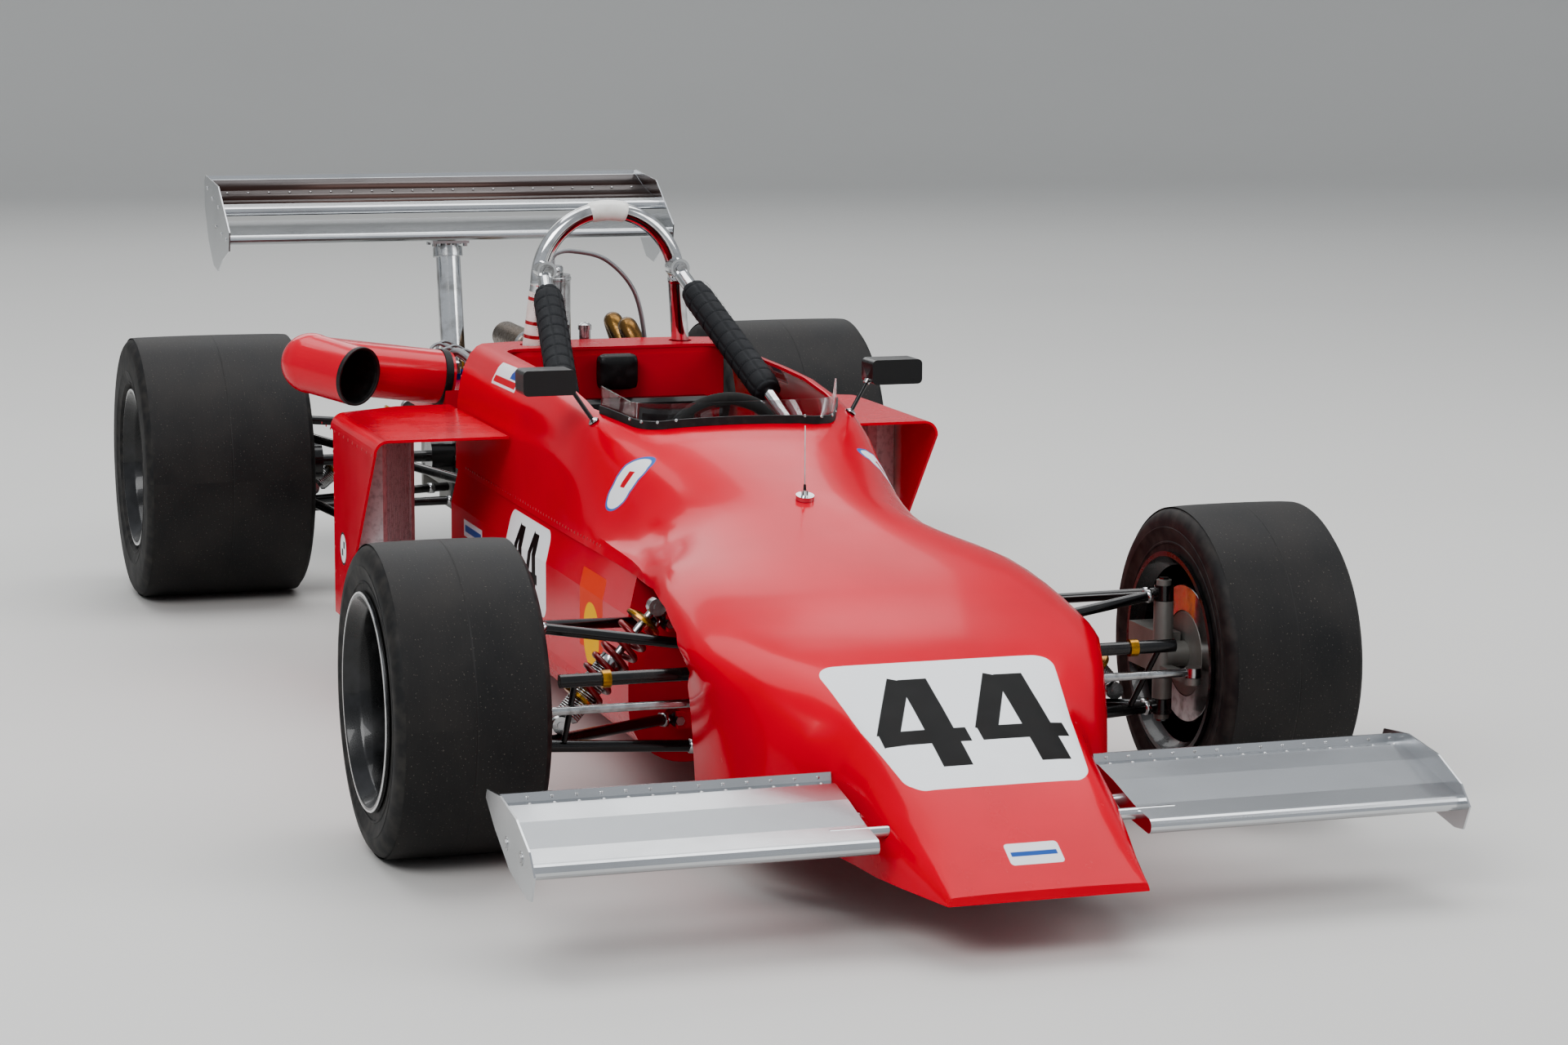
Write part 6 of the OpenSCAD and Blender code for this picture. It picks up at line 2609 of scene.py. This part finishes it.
        loops.tube(
            smooth_path(
                [
                    rear(-276, -716, 604), rear(-262, -730, 612), rear(-240, -752, 590),
                    rear(-236, -772, 540),
                    rear(-240, -776, 500), rear(-246, -768, 480),
                ],
                8,
            ),
            0.0085, 14,
        )
        clips.lathe(
            [(0.0087, -0.008), (0.0115, -0.008), (0.0115, 0.008), (0.0087, 0.008)],
            facing(rear(-238, -765, 555), Vector((0.05, -0.3, -1))), 24, True,
        )
        clips.piece("throttle_clips", "chassis")
        loops.piece("vacuum_hoses", "chassis", 60)
        rail.piece("injector_bodies", "chassis", 40)
        fittings.piece("fuel_rail", "chassis", 40)

    def tanks(self) -> None:
        """Silver catch tank and bottle with their caps, seams, straps and the breather hose."""
        dress(FINISHES["bright_steel"], "catch_tanks")
        a, b = front(-92, 1655.3, 780), front(-25, 1639.3, 665)
        trim = Solid(FINISHES["bright_steel"])
        trim.lathe(
            [
                (0, 0), (0.024, 0), (0.025, 0.004), (0.025, 0.014), (0.022, 0.018), (0.008, 0.018),
                (0.008, 0.03),
                (0, 0.03),
            ],
            moved(a), 40,
        )
        trim.lathe(
            [(0.0402, -0.35), (0.0418, -0.349), (0.0418, -0.343), (0.0402, -0.342)], moved(a), 48, True,
        )
        trim.lathe(
            [(0.0402, -0.012), (0.0415, -0.011), (0.0415, -0.006), (0.0402, -0.005)], moved(a), 48, True,
        )
        trim.lathe([(0, 0), (0.014, 0), (0.014, 0.01), (0.006, 0.016), (0, 0.016)], moved(b), 28)
        trim.piece("tank_caps", "chassis", 40)
        hose = Solid(FINISHES["braid"])
        start = front(-92, 1655.3, 806)
        path = smooth_path(
            [
                start - Vector((0, 0, 0.002)), start + Vector((0.012, 0.004, 0.016)),
                start + Vector((0.05, 0.01, 0.02)), front(30, 1672, 806), front(92, 1680, 740),
                front(118, 1690, 640), front(120, 1704, 566),
            ],
            10,
        )
        hose.tube(path, 0.0048, 12)
        hose.piece("breather_hose", "chassis", 60)

    def hoses(self) -> None:
        """Braided oil and fuel lines held along the bay, with coloured fittings."""
        lines = Solid(FINISHES["braid"])
        ends = Solid(FINISHES["blue_alloy"])
        routes = (
            [
                (-60, 1640, 420), (-110, 1650, 470), (-190, 1665, 520), (-205, 1700, 560), (-190, 1745, 575),
                (-172, 1790, 560),
            ],
            [
                (-140, 1628, 430), (-215, 1640, 500), (-238, 1668, 560), (-225, 1710, 572), (-200, 1760, 566),
                (-176, 1840, 558),
            ],
            [
                (60, 1636, 410), (120, 1645, 450), (160, 1665, 500), (158, 1700, 540), (120, 1716, 560),
                (85, 1730, 572),
            ],
        )
        for points in routes:
            path = smooth_path([front(*p) for p in points], 8)
            lines.tube(path, 0.0062, 12)
            for tip, then in ((path[0], path[2]), (path[-1], path[-3])):
                ends.lathe(
                    [
                        (0, -0.004), (0.0095, -0.004), (0.0095, 0.01), (0.0075, 0.012), (0.0075, 0.022),
                        (0, 0.022),
                    ],
                    facing(tip, then - tip), 6,
                )
        lines.piece("oil_lines", "chassis", 60)
        ends.piece("line_fittings", "chassis", 20)
        post = Solid(FINISHES["black_rubber"])
        path = smooth_path(
            [
                rear(-40, 440, 414), rear(-60, 420, 450), rear(-72, 380, 480), rear(-66, 300, 470),
                rear(-50, 240, 416),
            ],
            10,
        )
        post.tube(path, 0.011, 14)
        post.piece("breather_pipe", "chassis", 60)

    def radiators(self) -> None:
        """Fins and tubes on both radiator cores."""
        dress(FINISHES["radiator_core"], "radiators")
        for side in Side:
            s = side.value
            turn = Matrix.Rotation(math.radians(118), 4, "Z")
            flip = Matrix.Diagonal((s, 1, 1, 1))
            base = flip @ moved(front(537, 1355, 0)) @ turn
            for face_y in (-0.0226, 0.0226):
                fins = moved((0.0, face_y, 0.174))
                self.shop.plates(
                    f"fins_{side.word}_{'back' if face_y > 0 else 'front'}", "chassis",
                    base @ fins @ moved((0.1125, 0, 0)), 108, (0, 0, 0.003), (0.172, 0.003, 0.0007),
                    FINISHES["radiator_fin"],
                )
                self.shop.plates(
                    f"core_tubes_{side.word}_{'back' if face_y > 0 else 'front'}", "chassis",
                    base @ moved((0.033, face_y, 0.335)), 13, (0.0135, 0, 0), (0.0028, 0.0042, 0.328),
                    FINISHES["radiator_core"],
                )

    def pods(self) -> None:
        """Rivets along the side pods' edges."""
        spots = []
        for side in Side:
            out = Vector((side.value, 0, 0))
            spots += [(front(side.value * 572, 1140 + 22 + 46 * k, 486), out) for k in range(12)]
            spots += [(front(side.value * 572, 1482 + 60, 150 + 50 * k), out) for k in range(7)]
        self.shop.fasten("pod_rivets", "chassis", spots, 0.0028, 0.0012, finish=FINISHES["rivet_red"])

    def build(self) -> None:
        """Builds every piece."""
        self.engine()
        self.gearbox()
        self.exhaust()
        self.intake()
        self.tanks()
        self.hoses()
        self.radiators()
        self.pods()


# ---------------------------------------------------------------- the car


def main() -> None:
    """Builds the car's looks in order."""
    logging.basicConfig(level=logging.INFO, format="%(message)s")
    Studio().build()
    shop = Workshop()
    Bodywork(shop).build()
    for side in Side:
        for axle in ("front", "rear"):
            Wheel(axle, side, shop).build()
    for assembly in (Safety(shop), Cockpit(shop), Wings(shop), Suspension(shop), EngineBay(shop)):
        assembly.build()


if __name__ == "__main__":
    main()
